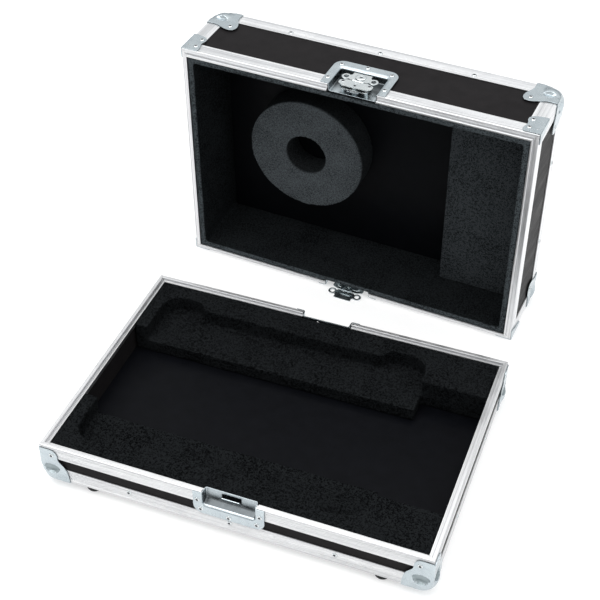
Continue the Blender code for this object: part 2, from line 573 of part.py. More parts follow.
# ---------------------------------------------------------------- latches
# In each latch a key turns on a pin square to the wall.  Its stem goes down
# through the cover plate and drives a flat hook towards the rim; a butterfly
# grip with two ring ears is hinged to the edge of the key's head plate.
FOLD_Y = 11.5                    # the grip's fold pin, from the key's axis
FOLD_D = 0.25                    # and its depth
EAR_X, EAR_Y = 20.0, 18.5        # centres of the ring ears, from the key's axis
HOOK_D = COVER_D + 1.8           # outer face of the hook plate
for side, sy, turned in (("front", -1, False), ("rear", 1, True)):
    # latch frame: x = u, y = away from the rim, z = outward from the wall
    zz = Vector((0, sy, 0))
    yy = Vector((0, 0, 1))
    xx = yy.cross(zz)
    base = Matrix((
        (xx.x, yy.x, zz.x, 0.0),
        (xx.y, yy.y, zz.y, sy * HD * MM),
        (xx.z, yy.z, zz.z, PIVOT_V * MM),
        (0, 0, 0, 1)))
    hook_frame = empty(f"{side}_hook_axis", lid, base)
    key_frame = empty(f"{side}_key_axis", lid, base @ Matrix.Rotation(math.pi if turned else 0.0, 4, 'Z'))
    grip_frame = empty(f"{side}_grip_axis", key_frame, Matrix.Translation((0, FOLD_Y * MM, -FOLD_D * MM)))

    # hook: a slotted plate lying in the recess, its nose towards the rim.
    # On the rear latch the key stands turned, so its hook stands out.
    out = HOOK_TRAVEL if turned else 0.0
    bm = bmesh.new()
    shape = rounded([(-9.0, 16.0, 2.0), (9.0, 16.0, 2.0), (9.0, -4.5, 1.5), (7.5, -8.6, 1.0), (-7.5, -8.6, 1.0),
                     (-9.0, -4.5, 1.5)], 2)
    bm_prism(bm, [(p, q - out) for p, q in shape], lambda p, q, t: (p, q, t), -HOOK_D - 1.8, -HOOK_D)
    hook = add_object(f"lid_{side}_latch_hook", bm, ZINC, hook_frame)
    bm = bmesh.new()
    slot = rounded([(-5.0, -5.0, 4.6), (-5.0, 13.2, 4.6), (5.0, 13.2, 4.6), (5.0, -5.0, 4.6)], 3)
    bm_prism(bm, [(p, q - out) for p, q in slot], lambda p, q, t: (p, q, t), -HOOK_D - 5.0, -HOOK_D + 3.0)
    boolean(hook, add_object(f"lid_{side}_latch_hook_slot", bm, None, hook_frame), 'DIFFERENCE')

    # pivot pin through the key: riveted to the dish in the front latch, and
    # a piece of its own in the rear one, because the lid swivels on it
    bm = bmesh.new()
    foot = -LATCH_FLOOR - 0.6 if side == "front" else -LATCH_FLOOR + CLEAR
    bm_lathe(bm, [(0, foot), (3.2, foot), (3.2, -8.9), (1.4, -8.9), (1.4, 1.2), (2.5, 1.2), (2.3, 1.5), (1.0, 1.65), (0, 1.65)],
             12, lambda x, y, z: (x, y, z))
    if side == "front":
        for v in bm.verts:
            v.co = xx * v.co.x + yy * (v.co.y + PIVOT_V) + zz * (v.co.z + HD)
        boolean(bpy.data.objects["lid_front_latch_dish"], add_object("lid_front_latch_pin", bm, None, lid), 'UNION')
    else:
        # the pin's own frame has its axis along +Y, inside to outside
        for v in bm.verts:
            v.co = Vector((-v.co.x, v.co.z + 5.0, v.co.y))
        round_off(add_object("lid_rear_latch_pin", bm, ZINC, pin_frame))

    # key: stem, winged head plate over the cover, knuckle with a pin at its edge
    bm = bmesh.new()
    bm_lathe(bm, [(0, -9.6), (4.4, -9.6), (4.4, 0.3), (0, 0.3)], 24, lambda x, y, z: (x, y, z))
    key = add_object(f"lid_{side}_latch_key", bm, ZINC, key_frame)
    round_off(key)
    bm = bmesh.new()
    wing = [(17.0, -5.0, 2.5), (24.5, 0.0, 3.0), (24.5, 6.6, 3.0), (18.5, 9.2, 1.5), (15.6, 10.5, 0.8), (8.6, 10.5, 0), (8.6, 9.2, 0)]
    head = rounded(wing + [(-x, y, r) for x, y, r in reversed(wing)], 3)
    bm_prism(bm, head, lambda x, y, z: (x, y, z), -0.45, 0.75)
    boolean(key, add_object(f"lid_{side}_latch_key_head", bm, None, key_frame), 'UNION')
    bm = bmesh.new()
    bm_box(bm, -4.0, 4.0, 6.0, FOLD_Y, -0.45, 0.85)
    boolean(key, add_object(f"lid_{side}_latch_key_tail", bm, None, key_frame), 'UNION')
    for suffix, radius, reach in (("_knuckle", 1.6, 4.1), ("_pin", 1.0, 7.6)):
        bm = bmesh.new()
        bm_lathe(bm, [(0, -reach), (radius, -reach), (radius, reach), (0, reach)], 12,
                 lambda x, y, z: (z, FOLD_Y + x, -FOLD_D + y))
        boolean(key, add_object(f"lid_{side}_latch_key{suffix}", bm, None, key_frame), 'UNION')
    bm = bmesh.new()
    bm_lathe(bm, [(0, -13.0), (3.6, -13.0), (3.6, -8.6), (1.75, -8.6), (1.75, 3.0), (0, 3.0)], 12,
             lambda x, y, z: (x, y, z))
    boolean(key, add_object(f"lid_{side}_latch_key_bore", bm, None, key_frame), 'DIFFERENCE')

    # grip: butterfly plate with two ring ears, hung on the key's fold pin
    bm = bmesh.new()
    ex, ey = EAR_X, EAR_Y - FOLD_Y
    half = [(7.8, 0.0), (7.8, 1.0), (12.5, 1.0), (16.0, 4.0), (16.0, 12.0), (13.5, 14.0), (13.5, 19.0), (13.0, 19.5)]
    plate = half + [(-p, q) for p, q in reversed(half)] + [(-4.4, 0.0), (-4.4, 3.4), (4.4, 3.4), (4.4, 0.0)]
    bm_prism(bm, plate, lambda p, q, t: (p, q, t), -0.6, 0.6)
    grip = add_object(f"lid_{side}_latch_grip", bm, ZINC, grip_frame)
    bm = bmesh.new()
    for s in (-1, 1):
        bm_lathe(bm, [(0, -0.75), (6.3, -0.75), (6.6, -0.45), (6.6, 0.45), (6.3, 0.75), (0, 0.75)], 18,
                 lambda x, y, z: (s * ex + x, ey + y, z))
    boolean(grip, add_object(f"lid_{side}_latch_grip_ears", bm, None, grip_frame), 'UNION')
    bm = bmesh.new()
    for s in (-1, 1):
        bm_lathe(bm, [(0, 4.4), (1.8, 4.4), (1.8, 7.9), (0, 7.9)], 12, lambda x, y, z: (s * z, x, y))
    boolean(grip, add_object(f"lid_{side}_latch_grip_lugs", bm, None, grip_frame), 'UNION')
    bm = bmesh.new()
    for s in (-1, 1):
        bm_lathe(bm, [(0, -4), (3.6, -4), (3.6, 4), (0, 4)], 14, lambda x, y, z: (s * ex + x, ey + y, z))
    bm_lathe(bm, [(0, -9.0), (1.3, -9.0), (1.3, 9.0), (0, 9.0)], 12, lambda x, y, z: (z, x, y))
    boolean(grip, add_object(f"lid_{side}_latch_grip_holes", bm, None, grip_frame), 'DIFFERENCE')

# ---------------------------------------------------------------- tray foam
FX = HW - RAIL_W - CLEAR          # inside of the rim rails
FY = HD - RAIL_W - CLEAR
CAV_L, CAV_R = -231.0, 160.0      # the player's space between the foams


def tray_foam(name, sy, ledge_y, strip_y, block_y, parent):
    """Two-level foam: cut-out upper level, full lower level under a ledge."""
    # upper level, seen from above, with a round lobe at each end of the cut
    top = [(-FX, FY, 0), (-FX, strip_y, 0), (CAV_L, strip_y, 3.0), (CAV_L, 148.0, 25.0), (-175.0, 148.0, 20.0),
           (-171.0, 132.5, 6.0), (95.0, 132.5, 6.0), (104.0, 148.5, 12.0), (157.0, 148.5, 26.0), (CAV_R, block_y, 2.0),
           (FX, block_y, 0), (FX, FY, 0)]
    bm = bmesh.new()
    bm_prism(bm, [(x, sy * y) for x, y in rounded(top, 5)], lambda x, y, z: (x, y, z), -FLOOR_TOP + CLEAR, -FOAM_TOP)
    ob = add_object(name, bm, FOAM_BLACK, parent)
    bm = bmesh.new()
    y0, y1 = sorted((sy * ledge_y, sy * (FY - 4.0)))
    bm_box(bm, CAV_L - 9.0, CAV_R + 0.8, y0, y1, -FLOOR_TOP + CLEAR - 0.05, -LEDGE)
    boolean(ob, add_object(name + "_ledge", bm, None, parent), 'UNION')
    # room behind the keeper dish
    bm = bmesh.new()
    y0, y1 = sorted((sy * (HD - KEEPER_FLOOR - SHEET - 0.6), sy * (HD + 5)))
    bm_box(bm, -DISH_HALF - 2.4, DISH_HALF + 2.4, y0, y1, -KEEPER_DEEP - 2.4, 5.0)
    boolean(ob, add_object(name + "_relief", bm, None, parent), 'DIFFERENCE')
    return ob


tray_foam("tray_rear_foam", 1, 71.5, 71.5, 104.5, tray)
tray_foam("tray_front_foam", -1, 79.5, 75.0, 105.0, tray)

# ---------------------------------------------------------------- lid foam
lx0, ly0 = HW - LINING_OUT, HD - LINING_OUT
bm = bmesh.new()
bm_box(bm, -lx0, lx0, -ly0, ly0, -3.2, LID_INSIDE - CLEAR)
ob = add_object("lid_foam_lining", bm, FOAM_GREY, lid)
bm = bmesh.new()
bm_box(bm, -lx0 + LINING, lx0 - LINING, -ly0 + LINING, ly0 - LINING, -10, LID_BODY + 10)
boolean(ob, add_object("lid_foam_lining_opening", bm, None, lid), 'DIFFERENCE')
bm = bmesh.new()
for sy in (-1, 1):
    y0, y1 = sorted((sy * (HD - LATCH_FLOOR - SHEET - 0.6), sy * (HD + 5)))
    bm_box(bm, -DISH_HALF - 2.4, DISH_HALF + 2.4, y0, y1, -5.0, LATCH_DEEP + 2.4)
boolean(ob, add_object("lid_foam_lining_relief", bm, None, lid), 'DIFFERENCE')

bm = bmesh.new()
z1 = LID_INSIDE - CLEAR
z0 = z1 - RING_T
bm_lathe(bm, [(RING_HOLE, z0), (RING_R, z0), (RING_R, z1), (RING_HOLE, z1), (RING_HOLE, z0)], 48,
         lambda x, y, z: (RING_X + x, RING_Y + y, z))
bmesh.ops.remove_doubles(bm, verts=bm.verts, dist=1e-4)
ob = add_object("lid_foam_ring", bm, FOAM_GREY, lid)
round_off(ob)

bm = bmesh.new()
bm_box(bm, BLOCK_X, lx0 - LINING - CLEAR, -ly0 + LINING + CLEAR, ly0 - LINING - CLEAR, z1 - BLOCK_T, z1)
add_object("lid_foam_block", bm, FOAM_GREY, lid)
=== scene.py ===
import json
import math

import bmesh
import bpy
import numpy as np
from mathutils import Matrix, Vector, noise

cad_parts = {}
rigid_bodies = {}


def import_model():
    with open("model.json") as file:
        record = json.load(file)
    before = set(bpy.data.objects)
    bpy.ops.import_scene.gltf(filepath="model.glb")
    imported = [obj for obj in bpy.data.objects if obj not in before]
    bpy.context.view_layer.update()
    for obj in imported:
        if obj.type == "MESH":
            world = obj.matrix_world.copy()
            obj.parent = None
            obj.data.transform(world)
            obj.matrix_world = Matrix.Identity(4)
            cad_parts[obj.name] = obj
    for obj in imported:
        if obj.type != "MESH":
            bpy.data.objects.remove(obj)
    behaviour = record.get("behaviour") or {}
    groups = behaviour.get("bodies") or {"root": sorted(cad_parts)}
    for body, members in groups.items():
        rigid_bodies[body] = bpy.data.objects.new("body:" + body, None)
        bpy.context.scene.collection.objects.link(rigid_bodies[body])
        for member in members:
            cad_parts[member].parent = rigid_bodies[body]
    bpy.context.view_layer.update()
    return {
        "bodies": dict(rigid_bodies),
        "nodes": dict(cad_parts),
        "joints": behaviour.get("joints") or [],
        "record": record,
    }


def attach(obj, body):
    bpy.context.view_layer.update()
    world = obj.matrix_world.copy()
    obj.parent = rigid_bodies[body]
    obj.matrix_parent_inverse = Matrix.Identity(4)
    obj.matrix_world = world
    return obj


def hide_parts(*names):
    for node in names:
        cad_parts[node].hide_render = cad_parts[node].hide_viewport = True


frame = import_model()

MM = 0.001

# ------------------------------------------------------------ case dimensions
HW, HD = 260.0, 180.0
TRAY_BODY, LID_BODY = 58.5, 117.0
RIM_Z = 69.5
SHIFT = Vector((7.541, -136.609, 0.0))
LID_YAW, LID_LEAN = math.radians(-4.176), math.radians(1.511)
CLEAR, PLATE, SHEET = 0.3, 1.3, 1.2
DISH_GAP, DISH_HALF, DISH_FLANGE = 36.2, 34.5, 47.3
PIVOT_V = 10.0

# each shell's own frame: x right, y back, z from its rim plane (closed sense)
TRAY = Matrix.Translation((SHIFT + Vector((0, 0, RIM_Z)))) @ Matrix.Identity(4)
LID = (Matrix.Translation(SHIFT) @ Matrix.Translation((-17.9, 318.8, 1.83)) @ Matrix.Rotation(LID_YAW, 4, 'Z')
       @ Matrix.Rotation(LID_LEAN, 4, 'X') @ Matrix.Translation((0, 0, HD)) @ Matrix.Rotation(math.radians(-90), 4, 'X'))
SHELL = {"tray": (TRAY, -1, TRAY_BODY), "lid": (LID, 1, LID_BODY)}


# ------------------------------------------------------------ camera, light, floor
def camera():
    az, el, roll = math.radians(20.34), math.radians(40.67), math.radians(0.404)
    back = Vector((math.sin(az) * math.cos(el), -math.cos(az) * math.cos(el), math.sin(el)))
    target = Vector((-0.0497, 0.1991, 0.0)) + SHIFT * MM + Vector((0, 0, RIM_Z * MM))
    place = target + back * 1.8162
    x = Vector((0, 0, 1)).cross(back).normalized()
    y = back.cross(x)
    c, s = math.cos(roll), math.sin(roll)
    x, y = x * c + y * s, y * c - x * s
    m = Matrix((x, y, back)).transposed().to_4x4()
    m.translation = place
    data = bpy.data.cameras.new("camera")
    data.lens = 75.98
    data.sensor_width = 36.0
    data.clip_start = 0.05
    ob = bpy.data.objects.new("camera", data)
    ob.matrix_world = m
    bpy.context.scene.collection.objects.link(ob)
    bpy.context.scene.camera = ob
    return ob


cam = camera()


def area_light(name, at, look, size, power, colour=(1, 1, 1)):
    d = bpy.data.lights.new(name, 'AREA')
    d.shape = 'RECTANGLE'
    d.size, d.size_y = size
    d.energy = power
    d.color = colour
    o = bpy.data.objects.new(name, d)
    o.location = at
    o.rotation_euler = (Vector(look) - Vector(at)).to_track_quat('-Z', 'Y').to_euler()
    bpy.context.scene.collection.objects.link(o)
    return o


area_light("key_softbox", (-0.9, -0.7, 2.4), (0, 0.05, 0.1), (1.8, 1.6), 24)
area_light("fill_softbox", (1.9, -0.7, 1.6), (0, 0.05, 0.1), (1.2, 1.6), 8)
area_light("top_softbox", (0.1, 0.6, 2.6), (0, 0.1, 0.1), (2.4, 1.8), 22)

bpy.context.scene.view_settings.view_transform = 'Standard'

world = bpy.data.worlds.new("studio")
bpy.context.scene.world = world
world.use_nodes = True
bg = world.node_tree.nodes["Background"]
bg.inputs["Strength"].default_value = 1.0
tent = world.node_tree.nodes
way = tent.new("ShaderNodeTexCoord")
split = tent.new("ShaderNodeSeparateXYZ")
shade_by_height = tent.new("ShaderNodeValToRGB")
stops = shade_by_height.color_ramp.elements
stops[0].position, stops[0].color = 0.0, (0.30, 0.33, 0.35, 1)
stops[1].position, stops[1].color = 1.0, (0.92, 0.92, 0.92, 1)
for pos, v in ((0.16, (0.44, 0.47, 0.49, 1)), (0.40, (0.80, 0.82, 0.83, 1)), (0.62, (1.02, 1.02, 1.02, 1))):
    stops.new(pos).color = v
world.node_tree.links.new(way.outputs["Generated"], split.inputs[0])
world.node_tree.links.new(split.outputs[2], shade_by_height.inputs["Fac"])
world.node_tree.links.new(shade_by_height.outputs["Color"], bg.inputs["Color"])


# ------------------------------------------------------------ materials
class Nodes:
    """Short helper to wire a procedural material."""

    def __init__(self, name):
        self.m = bpy.data.materials.new(name)
        self.m.use_nodes = True
        self.t = self.m.node_tree
        self.b = self.t.nodes["Principled BSDF"]

    def add(self, kind, **props):
        n = self.t.nodes.new("ShaderNode" + kind)
        for k, v in props.items():
            if k in n.inputs.keys():
                n.inputs[k].default_value = v
            else:
                setattr(n, k, v)
        return n

    def link(self, a, b):
        self.t.links.new(a, b)

    def ramp(self, source, stops, interpolation='LINEAR'):
        r = self.t.nodes.new("ShaderNodeValToRGB")
        r.color_ramp.interpolation = interpolation
        e = r.color_ramp.elements
        while len(e) > 1:
            e.remove(e[-1])
        e[0].position, e[0].color = stops[0][0], (*stops[0][1], 1)
        for pos, col in stops[1:]:
            s = e.new(pos)
            s.color = (*col, 1)
        self.link(source, r.inputs["Fac"])
        return r.outputs["Color"]

    def bump(self, height, strength, distance, normal=None):
        b = self.add("Bump")
        b.inputs["Strength"].default_value = strength
        b.inputs["Distance"].default_value = distance
        self.link(height, b.inputs["Height"])
        if normal is not None:
            self.link(normal, b.inputs["Normal"])
        return b.outputs["Normal"]


def grey(v):
    return (v, v, v)


floor_mesh = bpy.data.meshes.new("floor")
floor_mesh.from_pydata([(-30, -30, 0), (30, -30, 0), (30, 30, 0), (-30, 30, 0)], [], [(0, 1, 2, 3)])
floor = bpy.data.objects.new("floor", floor_mesh)
floor.location.z = -0.0002
bpy.context.scene.collection.objects.link(floor)
n = Nodes("floor_white")
n.b.inputs["Base Color"].default_value = (0.62, 0.62, 0.62, 1)
n.b.inputs["Emission Color"].default_value = (1, 1, 1, 1)
n.b.inputs["Emission Strength"].default_value = 0.45
n.b.inputs["Roughness"].default_value = 0.9
floor_mesh.materials.append(n.m)


# ------------------------------------------------------------ finishes
def place_of(n, scale):
    """Coordinates of a piece in its own shell's frame, in metres, times scale."""
    at = n.add("Attribute", attribute_name="loc")
    mp = n.add("Mapping")
    mp.inputs["Scale"].default_value = scale if isinstance(scale, tuple) else (scale,) * 3
    n.link(at.outputs["Vector"], mp.inputs["Vector"])
    return mp.outputs["Vector"]


def world_place(n, scale):
    tc = n.add("TexCoord")
    mp = n.add("Mapping")
    mp.inputs["Scale"].default_value = scale if isinstance(scale, tuple) else (scale,) * 3
    n.link(tc.outputs["Object"], mp.inputs["Vector"])
    return mp.outputs["Vector"]


def noise_of(n, vector, scale=1.0, detail=3.0, rough=0.55):
    t = n.add("TexNoise")
    t.inputs["Scale"].default_value = scale
    t.inputs["Detail"].default_value = detail
    t.inputs["Roughness"].default_value = rough
    n.link(vector, t.inputs["Vector"])
    return t.outputs["Fac"]


def blend_of(n, a, b, f):
    m = n.add("Math", operation='MULTIPLY_ADD')
    n.link(a, m.inputs[0])
    m.inputs[1].default_value = f
    n.link(b, m.inputs[2])
    return m.outputs[0]


def aluminium(name, axis):
    """Extruded, satin aluminium: die lines along the bar, small handling marks, with painted shade below the rim plane
    and painted light above it.
    """
    n = Nodes(name)
    n.b.inputs["Metallic"].default_value = 1.0
    fine = [2600.0, 2600.0, 2600.0]
    fine[axis] = 9.0
    broad = [260.0, 260.0, 260.0]
    broad[axis] = 2.2
    die = noise_of(n, place_of(n, tuple(fine)), 1.0, 2.0)
    band = noise_of(n, place_of(n, tuple(broad)), 1.0, 2.0)
    both = blend_of(n, die, band, 0.55)
    colour = n.ramp(both, [(0.45, (0.50, 0.505, 0.515)), (0.72, (0.75, 0.755, 0.765)), (1.05, (0.88, 0.885, 0.89))])
    # painted shade and painted light: the colour is scaled to 0.84 below the rim plane (tray, lid tongue) and to 1.06
    # above it (lid)
    n.link(graded(n, colour, -0.001, 0.001, 0.84, 1.06), n.b.inputs["Base Color"])
    smudge = noise_of(n, place_of(n, 38.0), 1.0, 4.0)
    n.link(n.ramp(smudge, [(0.3, grey(0.30)), (0.7, grey(0.44))]), n.b.inputs["Roughness"])
    n.link(n.bump(die, 0.25, 0.0001, n.bump(band, 0.2, 0.0003)), n.b.inputs["Normal"])
    return n.m


def graded(n, colour, z0, z1, k0, k1):
    """Scale a colour by the height in the shell's own frame; this paints shade and light by height."""
    at = n.add("Attribute", attribute_name="loc")
    xyz = n.add("SeparateXYZ")
    n.link(at.outputs["Vector"], xyz.inputs[0])
    r = n.add("MapRange")
    n.link(xyz.outputs[2], r.inputs[0])
    for i, v in enumerate((z0, z1, k0, k1)):
        r.inputs[i + 1].default_value = v
    by = n.add("VectorMath", operation='SCALE')
    n.link(colour, by.inputs[0])
    n.link(r.outputs[0], by.inputs["Scale"])
    return by.outputs[0]


def steel(name, tint, lo_rough, hi_rough, spangle=0.5, shade_by_height=None):
    """Zinc-plated pressed steel: faint spangle, soft orange peel, rubbed spots, and an optional height grade that
    paints shade.
    """
    n = Nodes(name)
    n.b.inputs["Metallic"].default_value = 1.0
    v = n.add("TexVoronoi", feature='SMOOTH_F1')
    v.inputs["Scale"].default_value = 1.0
    v.inputs["Smoothness"].default_value = 0.4
    n.link(place_of(n, 210.0), v.inputs["Vector"])
    cloud = noise_of(n, place_of(n, 55.0), 1.0, 4.0)
    tone = blend_of(n, v.outputs["Distance"], cloud, 0.22 * spangle)
    r, g, b = tint
    colour = n.ramp(tone, [(0.30, (r * 0.86, g * 0.87, b * 0.88)), (0.75, (r * 1.05, g * 1.05, b * 1.04))])
    # painted shade: when a grade is given, the colour is darkened by height in the shell's frame
    n.link(graded(n, colour, *shade_by_height) if shade_by_height else colour, n.b.inputs["Base Color"])
    wear = noise_of(n, place_of(n, 120.0), 1.0, 3.0)
    n.link(n.ramp(wear, [(0.3, grey(lo_rough)), (0.7, grey(hi_rough))]), n.b.inputs["Roughness"])
    fine = noise_of(n, place_of(n, 900.0), 1.0, 2.0)
    n.link(n.bump(fine, 0.12, 0.0002, n.bump(cloud, 0.25, 0.0012)), n.b.inputs["Normal"])
    return n.m


def laminate(name, tint, level, rough):
    """Phenolic-faced birch board: fine stipple, faint mottling, scuffs."""
    n = Nodes(name)
    n.b.inputs["Specular IOR Level"].default_value = level
    mottle = noise_of(n, world_place(n, 60.0), 1.0, 5.0, 0.6)
    r, g, b = tint
    n.link(n.ramp(mottle, [(0.30, (r * 0.82, g * 0.82, b * 0.82)), (0.70, (r * 1.18, g * 1.16, b * 1.16))]),
           n.b.inputs["Base Color"])
    scuff = noise_of(n, world_place(n, (14.0, 14.0, 90.0)), 1.0, 6.0, 0.7)
    n.link(n.ramp(scuff, [(0.35, grey(rough - 0.07)), (0.75, grey(rough + 0.12))]), n.b.inputs["Roughness"])
    v = n.add("TexVoronoi")
    v.inputs["Scale"].default_value = 1.0
    n.link(world_place(n, 900.0), v.inputs["Vector"])
    n.link(n.bump(v.outputs["Distance"], 0.22, 0.0003), n.b.inputs["Normal"])
    return n.m


def foam(name, dark, light, cell, depth, level=0.12, painted_shading=None):
    """Cut polyurethane foam: open cells that catch the light on their walls."""
    n = Nodes(name)
    n.b.inputs["Roughness"].default_value = 0.95
    n.b.inputs["Specular IOR Level"].default_value = level
    v = n.add("TexVoronoi", feature='F1')
    v.inputs["Scale"].default_value = 1.0
    v.inputs["Randomness"].default_value = 1.0
    n.link(place_of(n, 1000.0 / cell), v.inputs["Vector"])
    tufts = noise_of(n, place_of(n, 1000.0 / (cell * 2.2)), 1.0, 3.0, 0.75)
    patch = noise_of(n, place_of(n, 22.0), 1.0, 2.0)
    tone = blend_of(n, v.outputs["Distance"], tufts, 0.55)
    m = n.add("Math", operation='MULTIPLY_ADD')
    n.link(patch, m.inputs[0])
    m.inputs[1].default_value = 0.28
    n.link(tone, m.inputs[2])
    colour = n.ramp(m.outputs[0], [(0.58, dark), (0.80, tuple(0.80 * a + 0.20 * b for a, b in zip(dark, light))), (1.04, light)])
    # painted light and painted shade: an optional grade scales the colour by height in the shell's frame
    n.link(graded(n, colour, *painted_shading) if painted_shading else colour, n.b.inputs["Base Color"])
    n.link(n.bump(tone, 0.9, depth), n.b.inputs["Normal"])
    return n.m


def rubber(name):
    n = Nodes(name)
    n.b.inputs["Specular IOR Level"].default_value = 0.25
    f = noise_of(n, place_of(n, 420.0), 1.0, 4.0)
    n.link(n.ramp(f, [(0.3, grey(0.008)), (0.7, grey(0.016))]), n.b.inputs["Base Color"])
    n.link(n.ramp(f, [(0.3, grey(0.62)), (0.7, grey(0.82))]), n.b.inputs["Roughness"])
    n.link(n.bump(f, 0.3, 0.0004), n.b.inputs["Normal"])
    return n.m


ALU = [aluminium("aluminium_lengthwise_x", 0), aluminium("aluminium_lengthwise_y", 1), aluminium("aluminium_lengthwise_z", 2)]
ZINC = steel("zinc_plated_sheet", (0.50, 0.555, 0.585), 0.20, 0.34)
BRIGHT = steel("bright_plated_latch", (0.66, 0.70, 0.71), 0.16, 0.30, 0.3)
RIVET = steel("rivet_steel", (0.70, 0.73, 0.74), 0.12, 0.22, 0.2)
HOLLOW = steel("shaded_latch_recess", (0.50, 0.555, 0.585), 0.20, 0.34, 0.4, (0.006, 0.022, 0.95, 0.22))
HOLLOW_TRAY = steel("shaded_keeper_recess", (0.48, 0.53, 0.56), 0.20, 0.34, 0.4, (-0.019, -0.006, 0.20, 0.9))
PIT = steel("shaded_hollow", (0.30, 0.345, 0.36), 0.28, 0.44, 0.3)
# painted shade: dark colour for rivet mandrels and the holes they sit in, screw sockets and stud ends
MANDREL_AND_HOLE_SHADE = steel("mandrel_and_painted_hole_shade", (0.10, 0.10, 0.11), 0.4, 0.6, 0.2)
LAMINATE = laminate("black_laminate_board", (0.0116, 0.0107, 0.0113), 0.05, 0.46)
BOARDING = laminate("black_inner_board_face", (0.0028, 0.0032, 0.0044), 0.05, 0.42)
BOARD_LID = laminate("black_lid_board_face", (0.0026, 0.0031, 0.0040), 0.05, 0.42)
FOAM_TRAY = foam("black_coarse_foam", (0.0004, 0.0005, 0.0006), (0.0105, 0.0118, 0.0128), 1.8, 0.0014, 0.02)
# painted light: the lining is brightened up to 4.6 times where it stands past the rim plane, at its cut front edge
FOAM_LID = foam("black_lining_foam", (0.0004, 0.0006, 0.0007), (0.0130, 0.0152, 0.0165), 1.5, 0.0010, 0.02,
                (-0.0026, -0.0014, 4.6, 1.0))
# painted light: the same foam as the lining, given a lighter tone where it faces the light
FOAM_BLOCK = foam("black_block_foam", (0.0040, 0.0050, 0.0056), (0.0400, 0.0455, 0.0495), 1.6, 0.0009, 0.03)
# painted shade: the ring's side, behind its front face, is darkened to 0.32
FOAM_RING = foam("charcoal_foam", (0.0120, 0.0140, 0.0152), (0.0680, 0.0770, 0.0830), 1.0, 0.0003, 0.04,
                 (0.0625, 0.0665, 1.0, 0.32))
RUBBER = rubber("black_foot_rubber")


# ------------------------------------------------------------ mesh helpers
def prism(bm, outline, place, a, b, mat=0):
    va = [bm.verts.new(place(p, q, a)) for p, q in outline]
    vb = [bm.verts.new(place(p, q, b)) for p, q in outline]
    k = len(outline)
    fs = [bm.faces.new(va), bm.faces.new(list(reversed(vb)))]
    for i in range(k):
        j = (i + 1) % k
        fs.append(bm.faces.new((va[i], va[j], vb[j], vb[i])))
    for f in fs:
        f.material_index = mat


def lathe(bm, rings, sides, place, mats=None):
    rows = []
    for r, h in rings:
        if r < 1e-6:
            rows.append([bm.verts.new(place(0.0, 0.0, h))])
        else:
            rows.append([bm.verts.new(place(r * math.cos(2 * math.pi * i / sides), r * math.sin(2 * math.pi * i / sides), h))
                         for i in range(sides)])
    for k, (lo, hi) in enumerate(zip(rows[:-1], rows[1:])):
        for i in range(sides):
            j = (i + 1) % sides
            quad = []
            for v in (lo[i % len(lo)], lo[j % len(lo)], hi[j % len(hi)], hi[i % len(hi)]):
                if v not in quad:
                    quad.append(v)
            if len(quad) > 2:
                f = bm.faces.new(quad)
                if mats:
                    f.material_index = mats[k]


def rounded(points, segs=5):
    out = []
    k = len(points)
    for i in range(k):
        x, y, r = points[i]
        if r <= 0:
            out.append((x, y))
            continue
        p = Vector((x, y))
        a = (Vector(points[i - 1][:2]) - p).normalized()
        b = (Vector(points[(i + 1) % k][:2]) - p).normalized()
        half = a.angle(b) / 2
        t = r / math.tan(half)
        pa, pb = p + a * t, p + b * t
        c = p + (a + b).normalized() * (r / math.sin(half))
        a0, a1 = math.atan2(*(pa - c).yx), math.atan2(*(pb - c).yx)
        d = (a1 - a0 + math.pi) % (2 * math.pi) - math.pi
        for q in range(segs + 1):
            w = a0 + d * q / segs
            out.append((c.x + r * math.cos(w), c.y + r * math.sin(w)))
    return out


def make(name, bm, M, mats, body, replaces=(), recalc=True, smooth=35.0, bevel=0.0, solid=0.0, segs=2):
    """One visible piece from a bmesh given in a shell's own frame, in millimetres."""
    if recalc:
        bmesh.ops.recalc_face_normals(bm, faces=bm.faces)
    loc = np.array([tuple(v.co) for v in bm.verts], np.float32)
    bm.transform(Matrix.Scale(MM, 4) @ M)
    me = bpy.data.meshes.new(name)
    bm.to_mesh(me)
    bm.free()
    me.attributes.new("loc", 'FLOAT_VECTOR', 'POINT').data.foreach_set("vector", (loc * MM).ravel())
    for m in mats:
        me.materials.append(m)
    ob = bpy.data.objects.new(name, me)
    bpy.context.scene.collection.objects.link(ob)
    if smooth:
        me.shade_smooth()
        me.set_sharp_from_angle(angle=math.radians(smooth))
    if solid:
        m = ob.modifiers.new("sheet", 'SOLIDIFY')
        m.thickness = solid * MM
        m.offset = -1.0
        m.use_even_offset = False
    if bevel:
        m = ob.modifiers.new("edges", 'BEVEL')
        m.width = bevel * MM
        m.segments = segs
        m.limit_method = 'ANGLE'
        m.angle_limit = math.radians(38)
        m.harden_normals = False
    if solid or bevel:
        m = ob.modifiers.new("shade", 'WEIGHTED_NORMAL')
        m.keep_sharp = True
    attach(ob, body)
    if replaces:
        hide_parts(*replaces)
    return ob


# ------------------------------------------------------------ aluminium profiles
def ribs(profile, runs):
    """Cut small grooves into straight runs of a closed profile."""
    out = []
    k = len(profile)
    for i in range(k):
        a, b = Vector(profile[i]), Vector(profile[(i + 1) % k])
        out.append(tuple(a))
        if i in runs:
            d = (b - a).normalized()
            inn = Vector((d.y, -d.x))
            for at, w, deep in runs[i]:
                p = a + d * at
                out += [tuple(p - d * w / 2), tuple(p - d * w * 0.24 + inn * deep), tuple(p + d * w * 0.24 + inn * deep),
                        tuple(p + d * w / 2)]
    return out


